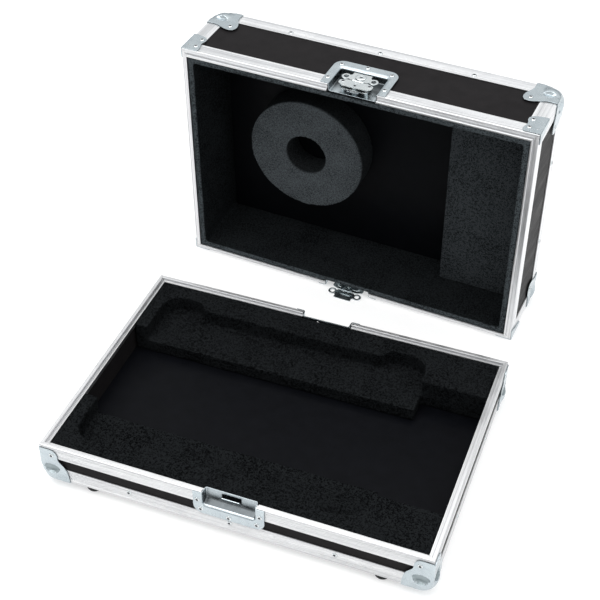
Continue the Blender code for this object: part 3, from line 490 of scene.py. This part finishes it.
RAIL_H, RAIL_W, RAIL_IN, TONGUE, SEAT, ANGLE = 20.0, 9.5, 6.0, 4.0, 4.3, 22.3
LEG_RIBS = [(at, 1.15, 0.75) for at in (2.6, 5.3, 8.0, 10.7, 13.4, 16.1)]
TONGUE_RAIL = [(0.0, 0.9), (0.0, RAIL_H - 0.3), (0.3, RAIL_H), (SHEET, RAIL_H), (SHEET, SHEET), (RAIL_W - SHEET, SHEET),
               (RAIL_W - SHEET, RAIL_IN), (RAIL_W, RAIL_IN), (RAIL_W, -TONGUE + 0.5), (RAIL_W - 0.15, -TONGUE + 0.15),
               (RAIL_W - 0.5, -TONGUE), (7.6, -TONGUE), (7.1, -TONGUE + 0.25), (6.8, -TONGUE + 0.9), (6.8, 0.0), (0.9, 0.0),
               (0.3, 0.3)]
TONGUE_RAIL = ribs(TONGUE_RAIL, {0: LEG_RIBS, 14: [(0.45, 0.8, 0.9), (2.1, 0.4, 0.2), (3.4, 0.4, 0.2), (4.9, 0.7, 0.55)]})
STEP_RAIL = [(0.0, 0.9), (0.0, RAIL_H - 0.3), (0.3, RAIL_H), (SHEET, RAIL_H), (SHEET, SEAT + SHEET), (RAIL_W - SHEET, SEAT + SHEET),
             (RAIL_W - SHEET, RAIL_IN + SEAT), (RAIL_W, RAIL_IN + SEAT), (RAIL_W, SEAT - 0.7), (RAIL_W - 1.3, SEAT - 0.7),
             (RAIL_W - 1.4, SEAT + 0.5), (5.5, SEAT + 0.5), (5.4, 0.5), (4.9, 0.0), (0.9, 0.0), (0.3, 0.3)]
STEP_RAIL = ribs(STEP_RAIL, {0: LEG_RIBS, 13: [(1.3, 0.45, 0.3), (2.7, 0.45, 0.3)]})


def edge_profile(far):
    rows = [(at, 0.95, 0.55) for at in (3.2, 5.9, 8.6, 11.3, 14.0, 16.7)]
    return ribs([(0.0, far - ANGLE), (0.0, far - 1.6), (0.45, far - 0.45), (1.6, far), (ANGLE, far), (ANGLE, far - SHEET),
                 (SHEET, far - SHEET), (SHEET, far - ANGLE)],
                {0: rows, 3: [(20.7 - a, w, d) for a, w, d in reversed(rows)]})


def wall_point(side, t, s, z):
    if side == "front":
        return (t, -HD + s, z)
    if side == "rear":
        return (t, HD - s, z)
    if side == "left":
        return (-HW + s, t, z)
    return (HW - s, t, z)


def bar(node, profile, side, shell, ends=(None, None), cut=0.0):
    M, zs, far = SHELL[shell]
    half = HW if side in ("front", "rear") else HD
    bm = bmesh.new()
    rows = []
    for sign, end in zip((-1, 1), ends):
        rows.append([bm.verts.new(wall_point(side, sign * (half - max(s, cut) - 0.15) if end is None else end, s, zs * w))
                     for s, w in profile])
    bm.faces.new(rows[0])
    bm.faces.new(list(reversed(rows[1])))
    for i in range(len(profile)):
        j = (i + 1) % len(profile)
        bm.faces.new((rows[0][i], rows[0][j], rows[1][j], rows[1][i]))
    look = ALU[0] if side in ("front", "rear") else ALU[1]
    return make(node + "_extrusion", bm, M, [look], shell, [node], smooth=25)


for who, shape in (("tray", STEP_RAIL), ("lid", TONGUE_RAIL)):
    for side in ("front", "rear"):
        bar(f"{who}_{side}_rail_left", shape, side, who, (None, -DISH_GAP))
        bar(f"{who}_{side}_rail_right", shape, side, who, (DISH_GAP, None))
    for side in ("left", "right"):
        bar(f"{who}_{side}_rail", shape, side, who)
    for side in ("front", "rear", "left", "right"):
        bar(f"{who}_{side}_edge_angle", edge_profile(SHELL[who][2]), side, who, cut=16.0)

for sx, nx in ((-1, "left"), (1, "right")):
    for sy, ny in ((-1, "front"), (1, "rear")):
        rows = [(at, 0.95, 0.55) for at in (3.2, 5.9, 8.6, 11.3, 14.0, 16.7)]
        L = ribs([(1.6, 0.0), (0.45, 0.45), (0.0, 1.6), (0.0, ANGLE), (SHEET, ANGLE), (SHEET, SHEET), (ANGLE, SHEET), (ANGLE, 0.0)],
                 {2: rows, 7: [(20.7 - a, w, d) for a, w, d in reversed(rows)]})
        bm = bmesh.new()
        prism(bm, L, lambda p, q, t: (sx * (HW - p), sy * (HD - q), t), RAIL_H + CLEAR, LID_BODY - ANGLE - CLEAR)
        make(f"lid_corner_angle_{ny}_{nx}_extrusion", bm, LID, [ALU[2]], "lid",
             [f"lid_corner_angle_{ny}_{nx}"], smooth=25)


# ------------------------------------------------------------ rivets
RIVETS = {"tray": bmesh.new(), "lid": bmesh.new()}


def rivet(shell, c, nrm, r=3.6, sides=22):
    """Blind rivet: domed collar with a sunken mandrel; the mandrel and its hole are coloured dark, partly the mandrel's
    own tone and partly painted shade.
    """
    c, nrm = Vector(c), Vector(nrm)
    q = nrm.to_track_quat('Z', 'Y')
    k = r / 3.6
    lathe(RIVETS[shell], [(0, -0.5), (3.5 * k, -0.5), (3.6 * k, 0.0), (3.58 * k, 0.3), (3.2 * k, 0.72 * k), (2.5 * k, 1.08 * k),
                          (2.1 * k, 1.24 * k), (1.75 * k, 1.14 * k), (1.6 * k, 0.8 * k), (1.5 * k, 0.2 * k), (0.6 * k, 0.3 * k),
                          (0, 0.34 * k)], sides,
          lambda x, y, z: c + q @ Vector((x, y, z)), [0, 0, 0, 0, 0, 0, 0, 1, 1, 1, 1])


for who in ("tray", "lid"):
    M, zs, far = SHELL[who]
    for side, nrm in (("front", (0, -1, 0)), ("rear", (0, 1, 0)), ("left", (-1, 0, 0)), ("right", (1, 0, 0))):
        for t in ((-137.5, 0.0, 137.5) if side in ("front", "rear") else (-70.0, 70.0)):
            rivet(who, wall_point(side, t, 0, zs * (far - 15.5)), nrm)


# ------------------------------------------------------------ ball corners
def curve(points, count):
    """count + 1 evenly spaced points on a smooth curve through points."""
    P = [Vector(p) for p in points]
    P = [2 * P[0] - P[1]] + P + [2 * P[-1] - P[-2]]
    fine = []
    for i in range(1, len(P) - 2):
        for k in range(24):
            t = k / 24
            a, b, c, d = P[i - 1:i + 3]
            fine.append(0.5 * ((2 * b) + (c - a) * t + (2 * a - 5 * b + 4 * c - d) * t * t + (3 * b - a - 3 * c + d) * t ** 3))
    fine.append(P[-2])
    lens = np.cumsum([0] + [(b - a).length for a, b in zip(fine[:-1], fine[1:])])
    xs = np.interp(np.linspace(0, lens[-1], count + 1), lens, [p.x for p in fine])
    ys = np.interp(np.linspace(0, lens[-1], count + 1), lens, [p.y for p in fine])
    return [Vector((x, y)) for x, y in zip(xs, ys)]


def straight(a, b, count):
    a, b = Vector(a), Vector(b)
    return [a.lerp(b, i / count) for i in range(count + 1)]


def coons(c0, c1, d0, d1):
    nu, nv = len(c0) - 1, len(d0) - 1
    rows = []
    for j in range(nv + 1):
        v = j / nv
        row = []
        for i in range(nu + 1):
            u = i / nu
            row.append(c0[i] * (1 - v) + c1[i] * v + d0[j] * (1 - u) + d1[j] * u
                       - c0[0] * ((1 - u) * (1 - v)) - c0[nu] * (u * (1 - v)) - c1[0] * ((1 - u) * v) - c1[nu] * (u * v))
        rows.append(row)
    return rows


BALL_R, BALL_IN = 19.5, 15.0
OUT = CLEAR + PLATE
REACH = BALL_IN + OUT


def knob(X, reach):
    """Pull a point of the sharp corner plates onto the pressed shape with its ball."""
    L = X.length
    D = X / L
    box = sum((max(c, 0.0) / k) ** 14 for c, k in zip(D, reach)) ** (-1 / 14)
    soft = 0.5 * (box + BALL_R + math.sqrt((box - BALL_R) ** 2 + 0.7))
    m = min(X)
    t = min(1.0, max(0.0, (4.0 - m) / 12.0))
    t = t * t * (3 - 2 * t)
    neck = math.exp(-((m + 7.5) / 3.6) ** 2) * (1.1 if box > BALL_R + 1.2 else 0.0)
    return D * ((1 - t) * BALL_R + t * soft - neck * min(1.0, (box - BALL_R) / 4.0 if box > BALL_R else 0.0))


def pressed_corner(node, shell, sx, sy, tall):
    M, zs, far = SHELL[shell]

    def P(p, q, r):
        return Vector((sx * (HW - p), sy * (HD - q), zs * (far - r)))

    n1, o = 34, OUT
    cz = BALL_IN - 4.5 if tall else BALL_IN
    if tall:
        n3, top = 46, 53.8
        e1 = 38.0
        wall_u = [(e1, -o), (37.7, 6.0), (36.6, 16.0), (33.5, 26.0), (28.8, 32.0), (25.6, 36.0), (24.4, 40.5), (24.2, 45.5), (21.8, 50.4)]
        wall_v = [(-o, top), (7.0, top), (14.5, top - 0.1), (19.0, top - 1.0), (21.8, 50.4)]
        flat_u = [(e1, -o), (38.0, 6.0), (38.3, 14.0), (38.0, 24.0), (35.5, 31.5), (31.5, 35.5)]
        pit = (14.2, 20.6, 11.6, 7.8, 6.2)
    else:
        n3, top = 34, 38.8
        e1 = 38.8
        wall_u = [(e1, -o), (38.2, 6.0), (38.6, 14.0), (41.2, 21.0), (44.6, 27.5), (46.6, 34.5), (46.2, 40.5), (43.4, 45.2)]
        wall_v = [(q, p) for p, q in wall_u[:-1]] + [(43.4, 45.2)]
        flat_u = wall_u[:-1] + [(44.0, 44.0)]
        pit = (14.6, 22.8, 8.6, 5.0, 3.6)
    flat_v = [(q, p) for p, q in flat_u]
    faces = (
        ("flat", coons(straight((-o, -o), (e1, -o), n1), curve(flat_v, n1), straight((-o, -o), (-o, e1), n1), curve(flat_u, n1))),
        ("a", coons(straight((-o, -o), (e1, -o), n1), curve(wall_v, n1), straight((-o, -o), (-o, top), n3), curve(wall_u, n3))),
        ("b", coons(straight((-o, -o), (e1, -o), n1), curve(wall_v, n1), straight((-o, -o), (-o, top), n3), curve(wall_u, n3))))
    bm = bmesh.new()
    sunk = set()
    for kind, rows in faces:
        grid = []
        for row in rows:
            line = []
            for g in row:
                a, b = g
                if kind == "flat":
                    pqr = Vector((a, b, -o))
                    axis = 2
                elif kind == "a":
                    pqr = Vector((a, -o, b))
                    axis = 1
                else:
                    pqr = Vector((-o, a, b))
                    axis = 0
                X = Vector((BALL_IN - pqr.x, BALL_IN - pqr.y, cz - pqr.z))
                Y = knob(X, (REACH, REACH, cz + OUT))
                if kind != "flat" or not tall:
                    cp, cr, hp, hr, deep = pit
                    e = math.hypot((a - cp) / hp, (b - cr) / hr)
                    w = min(1.0, max(0.0, (1.0 - e) / 0.42))
                    w = w * w * (3 - 2 * w)
                    lip = math.exp(-((e - 1.08) / 0.12) ** 2) * 0.25
                    floor_at = (cz if axis == 2 else BALL_IN) + 0.35
                    Y[axis] = max(Y[axis] - deep * w + lip, min(Y[axis], floor_at))
                line.append(bm.verts.new(P(BALL_IN - Y.x, BALL_IN - Y.y, cz - Y.z)))
                if tall and kind != "flat" and e < 1.0:
                    sunk.add(line[-1])
            grid.append(line)
        flip = (sx * sy * zs > 0) ^ (kind == "a")
        for j in range(len(grid) - 1):
            for i in range(len(grid[0]) - 1):
                f = (grid[j][i], grid[j][i + 1], grid[j + 1][i + 1], grid[j + 1][i])
                bm.faces.new(f if flip else tuple(reversed(f))).material_index = 1 if all(v in sunk for v in f) else 0
    bmesh.ops.remove_doubles(bm, verts=bm.verts, dist=0.02)
    make(node + "_pressing", bm, M, [ZINC, PIT], shell, [node], recalc=False, smooth=60, solid=1.1, bevel=0.22)
    s = -OUT
    if tall:
        spots = [((28.5, 28.5, s), (0, 0, zs)), ((16.6, s, 44.4), (0, sy, 0)), ((s, 16.6, 44.4), (sx, 0, 0))]
    else:
        spots = [((37.0, 37.0, s), (0, 0, zs)), ((36.4, s, 37.6), (0, sy, 0)), ((s, 36.4, 37.6), (sx, 0, 0))]
    for (p, q, r), nrm in spots:
        rivet(shell, P(p, q, r), nrm, 3.5)


for sx, nx in ((-1, "left"), (1, "right")):
    for sy, ny in ((-1, "front"), (1, "rear")):
        pressed_corner(f"tray_ball_corner_{ny}_{nx}", "tray", sx, sy, True)
        pressed_corner(f"lid_ball_corner_{ny}_{nx}", "lid", sx, sy, False)

# ------------------------------------------------------------ corner braces of the lid's rim
for sx, nx in ((-1, "left"), (1, "right")):
    for sy, ny in ((-1, "front"), (1, "rear")):
        o = OUT
        rows = []
        lobe = [(0.9, 22.2), (3.0, 24.0), (7.0, 24.6), (12.0, 23.6), (17.0, 21.8), (22.0, 22.0), (27.0, 23.9), (32.0, 23.9),
                (36.2, 21.2), (38.8, 16.5), (40.4, 10.0), (40.9, 4.0)]
        taper = [(0.9, 14.6), (2.6, 16.2), (6.0, 15.2), (10.0, 13.2), (14.0, 11.4), (18.0, 10.0), (22.0, 9.0), (27.0, 8.0),
                 (32.0, 7.2), (36.0, 6.4), (39.0, 5.2), (40.9, 2.6)]
        zs_ = np.linspace(0.9, 40.9, 30)
        bm = bmesh.new()
        for z in zs_:
            fp = np.interp(z, [a for a, b in lobe], [b for a, b in lobe])
            fq = np.interp(z, [a for a, b in taper], [b for a, b in taper])
            line = [(fp + (-o + 1.6 - fp) * i / 8, -o) for i in range(9)]
            line += [(-o + 1.6 - 1.6 * math.sin(math.pi / 2 * i / 5), -o + 1.6 - 1.6 * math.cos(math.pi / 2 * i / 5)) for i in range(1, 6)]
            line += [(-o, -o + 1.6 + (fq + o - 1.6) * i / 6) for i in range(1, 7)]
            rows.append([bm.verts.new((sx * (HW - p), sy * (HD - q), z)) for p, q in line])
        flip = sx * sy > 0
        for a, b in zip(rows[:-1], rows[1:]):
            for i in range(len(a) - 1):
                f = (a[i], a[i + 1], b[i + 1], b[i])
                bm.faces.new(tuple(reversed(f)) if flip else f)
        bm.faces.ensure_lookup_table()
        bm.normal_update()
        if bm.faces[0].normal.y * sy < 0:
            bmesh.ops.reverse_faces(bm, faces=bm.faces)
        make(f"lid_corner_brace_{ny}_{nx}_folded", bm, LID, [ZINC], "lid", [f"lid_corner_brace_{ny}_{nx}"],
             recalc=False, smooth=60, solid=1.2, bevel=0.25)
        for z in (11.2, 29.7):
            rivet("lid", (sx * (HW - 17.2), sy * (HD + OUT), z), (0, sy, 0), 3.6)
        rivet("lid", (sx * (HW - 6.0), sy * (HD + OUT), 10.2), (0, sy, 0), 1.5, 12)


# ------------------------------------------------------------ feet
for sx, nx in ((-1, "left"), (1, "right")):
    for sy, ny in ((-1, "front"), (1, "rear")):
        bm = bmesh.new()
        h = 10.7
        lathe(bm, [(0, 0), (10.6, 0), (11.0, -0.4), (11.0, -4.0), (10.9, -h * 0.62), (10.5, -h * 0.80), (9.7, -h * 0.93), (8.8, -h * 0.99),
                   (8.0, -h), (4.6, -h), (4.2, -h + 0.4), (4.1, -h + 3.4), (0, -h + 3.5)], 44,
              lambda x, y, z: (sx * 195.0 + x, sy * 166.0 + y, -TRAY_BODY - CLEAR + z))
        make(f"tray_foot_{ny}_{nx}_rubber", bm, TRAY, [RUBBER], "tray", [f"tray_foot_{ny}_{nx}"], smooth=40)
        bm = bmesh.new()
        top = -TRAY_BODY - CLEAR - h + 3.5
        # the screw's socket faces are painted dark as shade
        lathe(bm, [(0, 0.2), (3.6, 0.2), (3.7, -0.4), (3.2, -1.3), (2.0, -1.75), (1.3, -1.8), (1.2, -1.1), (0, -1.0)], 24,
              lambda x, y, z: (sx * 195.0 + x, sy * 166.0 + y, top + z), [0, 0, 0, 0, 0, 1, 1])
        make(f"tray_foot_screw_{ny}_{nx}", bm, TRAY, [RIVET, MANDREL_AND_HOLE_SHADE], "tray", smooth=30)


# ------------------------------------------------------------ dishes
def u_line(half, length, r, tip, counts=(8, 9, 18)):
    k1, k2, k3 = counts
    side = [(-half, tip + (length - r - tip) * i / k1) for i in range(k1)]
    arc = [(-half + r - r * math.cos(math.pi / 2 * i / k2), length - r + r * math.sin(math.pi / 2 * i / k2)) for i in range(k2)]
    left = side + arc
    mid = [((-half + r) + 2 * (half - r) * i / k3, length) for i in range(k3 + 1)]
    return left + mid + [(-u, v) for u, v in reversed(left)]


def dish(node, shell, sy, rows, slot=None, deep=None):
    M, zs, far = SHELL[shell]

    def place(u, v, d):
        return Vector((u, sy * (HD - d), zs * v))

    bm = bmesh.new()
    lines = [[bm.verts.new(place(u, v, d)) for u, v in u_line(half, length, r, tip)] for half, length, r, tip, d in rows]
    for j, (a, b) in enumerate(zip(lines[:-1], lines[1:])):
        for i in range(len(a) - 1):
            bm.faces.new((a[i], a[i + 1], b[i + 1], b[i])).material_index = 1 if deep and j >= 7 else 0
    if slot is None:
        bm.faces.new(lines[-1]).material_index = 1 if deep else 0
    else:
        d = rows[-1][4]
        hole = [bm.verts.new(place(u, v, d)) for u, v in slot]
        edges = [bm.edges.get((lines[-1][i], lines[-1][i + 1])) for i in range(len(lines[-1]) - 1)]
        edges.append(bm.edges.new((lines[-1][0], lines[-1][-1])))
        edges += [bm.edges.new((hole[i], hole[(i + 1) % len(hole)])) for i in range(len(hole))]
        done = bmesh.ops.triangle_fill(bm, use_beauty=True, use_dissolve=False, edges=edges, normal=(0, sy, 0))
        for g in done["geom"]:
            if isinstance(g, bmesh.types.BMFace):
                g.material_index = 1 if deep else 0
    bmesh.ops.recalc_face_normals(bm, faces=bm.faces)
    bm.normal_update()
    bm.faces.ensure_lookup_table()
    at = lines[2][20]
    f = max(at.link_faces, key=lambda f: abs(f.normal.y))
    if f.normal.y * sy < 0:
        bmesh.ops.reverse_faces(bm, faces=bm.faces)
    return make(node + "_pressing", bm, M, [ZINC, deep or ZINC], shell, [node], recalc=False, smooth=50, solid=1.1, bevel=0.2)


LATCH_ROWS = [(47.3, 61.5, 14.0, 0.6, -0.35), (47.3, 61.5, 14.0, 0.6, -1.3), (47.0, 61.2, 13.7, 0.6, -1.6),
              (39.2, 50.4, 7.0, 0.6, -1.6), (38.4, 49.4, 6.4, 0.6, -1.5), (36.2, 46.4, 4.6, 0.6, -0.9), (35.2, 45.3, 3.6, 0.6, -0.3),
              (34.7, 44.7, 3.0, 0.6, 0.8), (34.5, 44.5, 2.8, 0.6, 2.2), (34.2, 44.2, 2.6, 0.6, 8.2), (33.6, 43.6, 2.4, 0.6, 9.4),
              (32.4, 42.4, 2.2, 0.6, 10.0)]
KEEPER_ROWS = [(47.3, 37.5, 12.5, 0.6, -0.35), (47.3, 37.5, 12.5, 0.6, -1.3), (47.0, 37.2, 12.2, 0.6, -1.6),
               (38.6, 27.6, 5.6, 0.6, -1.6), (37.6, 26.6, 5.0, 0.6, -1.45), (35.6, 24.4, 4.0, 0.6, -0.9), (34.8, 23.4, 3.4, 0.6, 0.2),
               (34.5, 22.4, 3.0, 0.6, 1.8), (34.2, 20.0, 2.6, 0.6, 7.4), (33.6, 18.8, 2.4, 0.6, 9.4), (32.6, 17.9, 2.2, 0.6, 10.0)]
for name, sy in (("front", -1), ("rear", 1)):
    dish(f"lid_{name}_latch_dish", "lid", sy, LATCH_ROWS, deep=HOLLOW)
    dish(f"tray_{name}_keeper_dish", "tray", sy, KEEPER_ROWS,
         rounded([(-13.0, 4.4, 1.0), (-13.0, 14.6, 1.0), (13.0, 14.6, 1.0), (13.0, 4.4, 1.0)], 3), deep=HOLLOW_TRAY)
    for u, v in ((-37.0, 52.0), (37.0, 52.0), (0.0, 56.0), (-41.4, 14.0), (41.4, 14.0)):
        rivet("lid", (u, sy * (HD + OUT), v), (0, sy, 0), 3.6)
    for u, v in ((-41.2, 14.0), (41.2, 14.0), (-37.2, 29.5), (37.2, 29.5), (0.0, 32.2)):
        rivet("tray", (u, sy * (HD + OUT), -v), (0, sy, 0), 3.6)
    # the keeper's lip: a tongue bent out of the back plate
    bm = bmesh.new()
    lip = [(17.6, 10.3), (15.4, 10.3), (14.4, 9.6), (12.9, 8.2), (10.4, 7.2), (7.9, 6.5), (8.2, 5.4), (10.8, 6.1), (13.6, 7.2),
           (15.0, 8.7), (15.8, 9.5), (17.6, 9.6)]
    prism(bm, lip, lambda v, d, u: (u, sy * (HD - d), -v), -11.8, 11.8)
    make(f"tray_{name}_keeper_lip", bm, TRAY, [ZINC], "tray", smooth=40, bevel=0.25)

# ------------------------------------------------------------ latches
COVER_D = 2.4
for side, sy, turned in (("front", -1, False), ("rear", 1, True)):
    zz, yy = Vector((0, sy, 0)), Vector((0, 0, 1))
    xx = yy.cross(zz)
    base = Matrix(((xx.x, yy.x, zz.x, 0.0), (xx.y, yy.y, zz.y, sy * HD), (xx.z, yy.z, zz.z, PIVOT_V), (0, 0, 0, 1)))
    key_at = base @ Matrix.Rotation(math.pi if turned else 0.0, 4, 'Z')

    def local(x, y, z, frame=base):
        return frame @ Vector((x, y, z))

    # cover plate, its two posts and countersunk rivets
    bm = bmesh.new()
    cover = rounded([(-21.0, -3.5, 2.6), (-15.6, -8.0, 2.0), (15.6, -8.0, 2.0), (21.0, -3.5, 2.6), (20.6, 4.6, 3.4), (15.4, 11.8, 1.6),
                     (-15.4, 11.8, 1.6), (-20.6, 4.6, 3.4)], 5)
    hole = [(5.2 * math.cos(a), 5.2 * math.sin(a)) for a in np.linspace(0, 2 * math.pi, 28, endpoint=False)]
    for z, flip in ((-COVER_D, False), (-COVER_D - 1.2, True)):
        ring = [bm.verts.new(local(x, y, z)) for x, y in cover]
        core = [bm.verts.new(local(x, y, z)) for x, y in hole]
        edges = [bm.edges.new((v, ring[(i + 1) % len(ring)])) for i, v in enumerate(ring)]
        edges += [bm.edges.new((v, core[(i + 1) % len(core)])) for i, v in enumerate(core)]
        bmesh.ops.triangle_fill(bm, use_beauty=True, edges=edges)
        if flip:
            for a, b in ((first, ring), (first_core, core)):
                for i in range(len(a)):
                    j = (i + 1) % len(a)
                    bm.faces.new((a[i], a[j], b[j], b[i]))
        first, first_core = ring, core
    for u in (-16.4, 16.4):
        lathe(bm, [(0, -10.4), (2.8, -10.4), (2.8, -COVER_D - 1.1), (0, -COVER_D - 1.1)], 20, lambda x, y, z: local(u + x, y + 0.4, z))
    make(f"lid_{side}_latch_cover", bm, LID, [BRIGHT], "lid", smooth=30, bevel=0.22)
    bm = bmesh.new()
    for u in (-16.4, 16.4):
        # the rivets' centres are painted dark as shade
        lathe(bm, [(0, -COVER_D - 0.6), (3.0, -COVER_D - 0.6), (3.15, -COVER_D + 0.05), (2.95, -COVER_D + 0.45), (2.2, -COVER_D + 0.55),
                   (1.7, -COVER_D + 0.35), (1.5, -COVER_D - 0.3), (0, -COVER_D - 0.35)], 24,
              lambda x, y, z: local(u + x, y + 0.4, z), [0, 0, 0, 0, 1, 1, 1])
    make(f"lid_{side}_latch_cover_rivets", bm, LID, [RIVET, MANDREL_AND_HOLE_SHADE], "lid", smooth=35)

    # two hollow rivets in the wings of the key's head plate, their holes painted dark as shade
    bm = bmesh.new()
    for u in (-19.2, 19.2):
        lathe(bm, [(0, 0.5), (2.9, 0.5), (3.1, 0.80), (2.9, 1.10), (2.5, 1.22), (2.1, 1.15), (1.9, 0.86), (0, 0.80)], 26,
              lambda x, y, z: local(u + x, 5.0 + y, z, key_at), [0, 0, 0, 0, 0, 1, 1])
    make(f"lid_{side}_latch_head_rivets", bm, LID, [RIVET, MANDREL_AND_HOLE_SHADE], f"{side}_key", smooth=35)

    # round boss pressed into the grip, with the end of its stud in the middle painted dark as shade
    bm = bmesh.new()
    lathe(bm, [(7.3, 0.25), (7.7, 0.30), (7.6, 0.9), (7.2, 1.28), (6.4, 1.48), (4.0, 1.5), (2.3, 1.36), (1.9, 0.95), (1.7, 0.7),
               (0, 0.75)], 40, lambda x, y, z: local(x, 22.3 + y, z, key_at), [0, 0, 0, 0, 0, 0, 0, 1, 1])
    make(f"lid_{side}_latch_grip_boss", bm, LID, [BRIGHT, MANDREL_AND_HOLE_SHADE], f"{side}_grip", smooth=35)
    # painted shadow: a thin dark crescent sheet round the boss, on the side of the fold pin, where shade falls between
    # boss and plate
    bm = bmesh.new()
    arc = [math.radians(a) for a in np.linspace(205, 335, 28)]
    inner = [(7.55 * math.cos(a), 7.55 * math.sin(a)) for a in arc]
    outer = [((7.6 + 2.0 * math.sin(math.pi * i / 27)) * math.cos(a), (7.6 + 2.0 * math.sin(math.pi * i / 27)) * math.sin(a))
             for i, a in enumerate(arc)]
    prism(bm, inner + list(reversed(outer)), lambda x, y, z: local(x, 22.3 + y, z, key_at), 0.3, 0.46)
    make(f"lid_{side}_latch_grip_boss_shadow", bm, LID, [MANDREL_AND_HOLE_SHADE], f"{side}_grip", smooth=0)



def refine(node, look, body, width=0.22, suffix="_finished"):
    """The CAD shape of a small part with its edges broken."""
    src = frame["nodes"][node]
    bm = bmesh.new()
    bm.from_mesh(src.data)
    bmesh.ops.remove_doubles(bm, verts=bm.verts, dist=2e-6)
    bmesh.ops.dissolve_limit(bm, angle_limit=math.radians(1.5), verts=bm.verts, edges=bm.edges)
    inv = LID.inverted() @ Matrix.Scale(1000.0, 4)
    bm.transform(inv)
    return make(node + suffix, bm, LID, [look], body, [node], smooth=30, bevel=width)


for side in ("front", "rear"):
    refine(f"lid_{side}_latch_hook", ZINC, f"{side}_hook")
    refine(f"lid_{side}_latch_key", BRIGHT, f"{side}_key")
    refine(f"lid_{side}_latch_grip", BRIGHT, f"{side}_grip")
refine("lid_rear_latch_pin", BRIGHT, "rear_latch_pin", 0.15)

for who, M in (("tray", TRAY), ("lid", LID)):
    make(f"{who}_rivets", RIVETS[who], M, [RIVET, MANDREL_AND_HOLE_SHADE], who, smooth=40)


# ------------------------------------------------------------ foam
def foam_piece(name, bm, M, look, shell, replaces, voxel, seed, rough=0.16, wave=0.35):
    """Cut foam: the solid remeshed finely, its skin roughened and its edges crumbled."""
    me = bpy.data.meshes.new(name + "_base")
    bmesh.ops.recalc_face_normals(bm, faces=bm.faces)
    bm.to_mesh(me)
    bm.free()
    tmp = bpy.data.objects.new(name + "_base", me)
    bpy.context.scene.collection.objects.link(tmp)
    m = tmp.modifiers.new("cells", 'REMESH')
    m.mode = 'VOXEL'
    m.voxel_size = voxel
    m.adaptivity = 0.0
    bpy.context.view_layer.update()
    done = bpy.data.meshes.new_from_object(tmp.evaluated_get(bpy.context.evaluated_depsgraph_get()))
    bpy.data.objects.remove(tmp)
    bpy.data.meshes.remove(me)
    bm = bmesh.new()
    bm.from_mesh(done)
    bpy.data.meshes.remove(done)
    bm.normal_update()
    off = Vector((seed * 13.7, seed * 5.1, seed * 9.3))
    for v in bm.verts:
        p = v.co + off
        d = noise.noise(p * 0.45) * rough + noise.noise(p * 0.055) * wave - rough - 0.25 * wave
        v.co += v.normal * d
    ob = make(name, bm, M, [look], shell, replaces, recalc=False, smooth=0)
    ob.data.shade_smooth()
    return ob


def box_bm(boxes):
    bm = bmesh.new()
    for x0, x1, y0, y1, z0, z1 in boxes:
        vs = [bm.verts.new((x, y, z)) for z in (z0, z1) for y in (y0, y1) for x in (x0, x1)]
        for f in ((0, 2, 3, 1), (4, 5, 7, 6), (0, 1, 5, 4), (1, 3, 7, 5), (3, 2, 6, 7), (2, 0, 4, 6)):
            bm.faces.new([vs[i] for i in f])
    return bm


def node_bm(node, M):
    bm = bmesh.new()
    bm.from_mesh(frame["nodes"][node].data)
    bmesh.ops.remove_doubles(bm, verts=bm.verts, dist=2e-6)
    bm.transform(M.inverted() @ Matrix.Scale(1000.0, 4))
    return bm


VOX = 2.0
foam_piece("tray_rear_foam_cut", node_bm("tray_rear_foam", TRAY), TRAY, FOAM_TRAY, "tray", ["tray_rear_foam"], VOX, 1, 0.30, 0.5)
foam_piece("tray_front_foam_cut", node_bm("tray_front_foam", TRAY), TRAY, FOAM_TRAY, "tray", ["tray_front_foam"], VOX, 2, 0.30, 0.5)
foam_piece("lid_foam_lining_cut", node_bm("lid_foam_lining", LID), LID, FOAM_LID, "lid", ["lid_foam_lining"], VOX, 3)
foam_piece("lid_foam_ring_cut", node_bm("lid_foam_ring", LID), LID, FOAM_RING, "lid", ["lid_foam_ring"], VOX, 4)
foam_piece("lid_foam_block_cut", node_bm("lid_foam_block", LID), LID, FOAM_BLOCK, "lid", ["lid_foam_block"], VOX, 5)

# ------------------------------------------------------------ boards keep their CAD shape
for node, look in (("tray_wall_boards", LAMINATE), ("lid_wall_boards", LAMINATE), ("tray_floor_board", BOARDING),
                   ("lid_top_board", BOARD_LID)):
    ob = frame["nodes"][node]
    for s in ob.material_slots:
        s.material = look
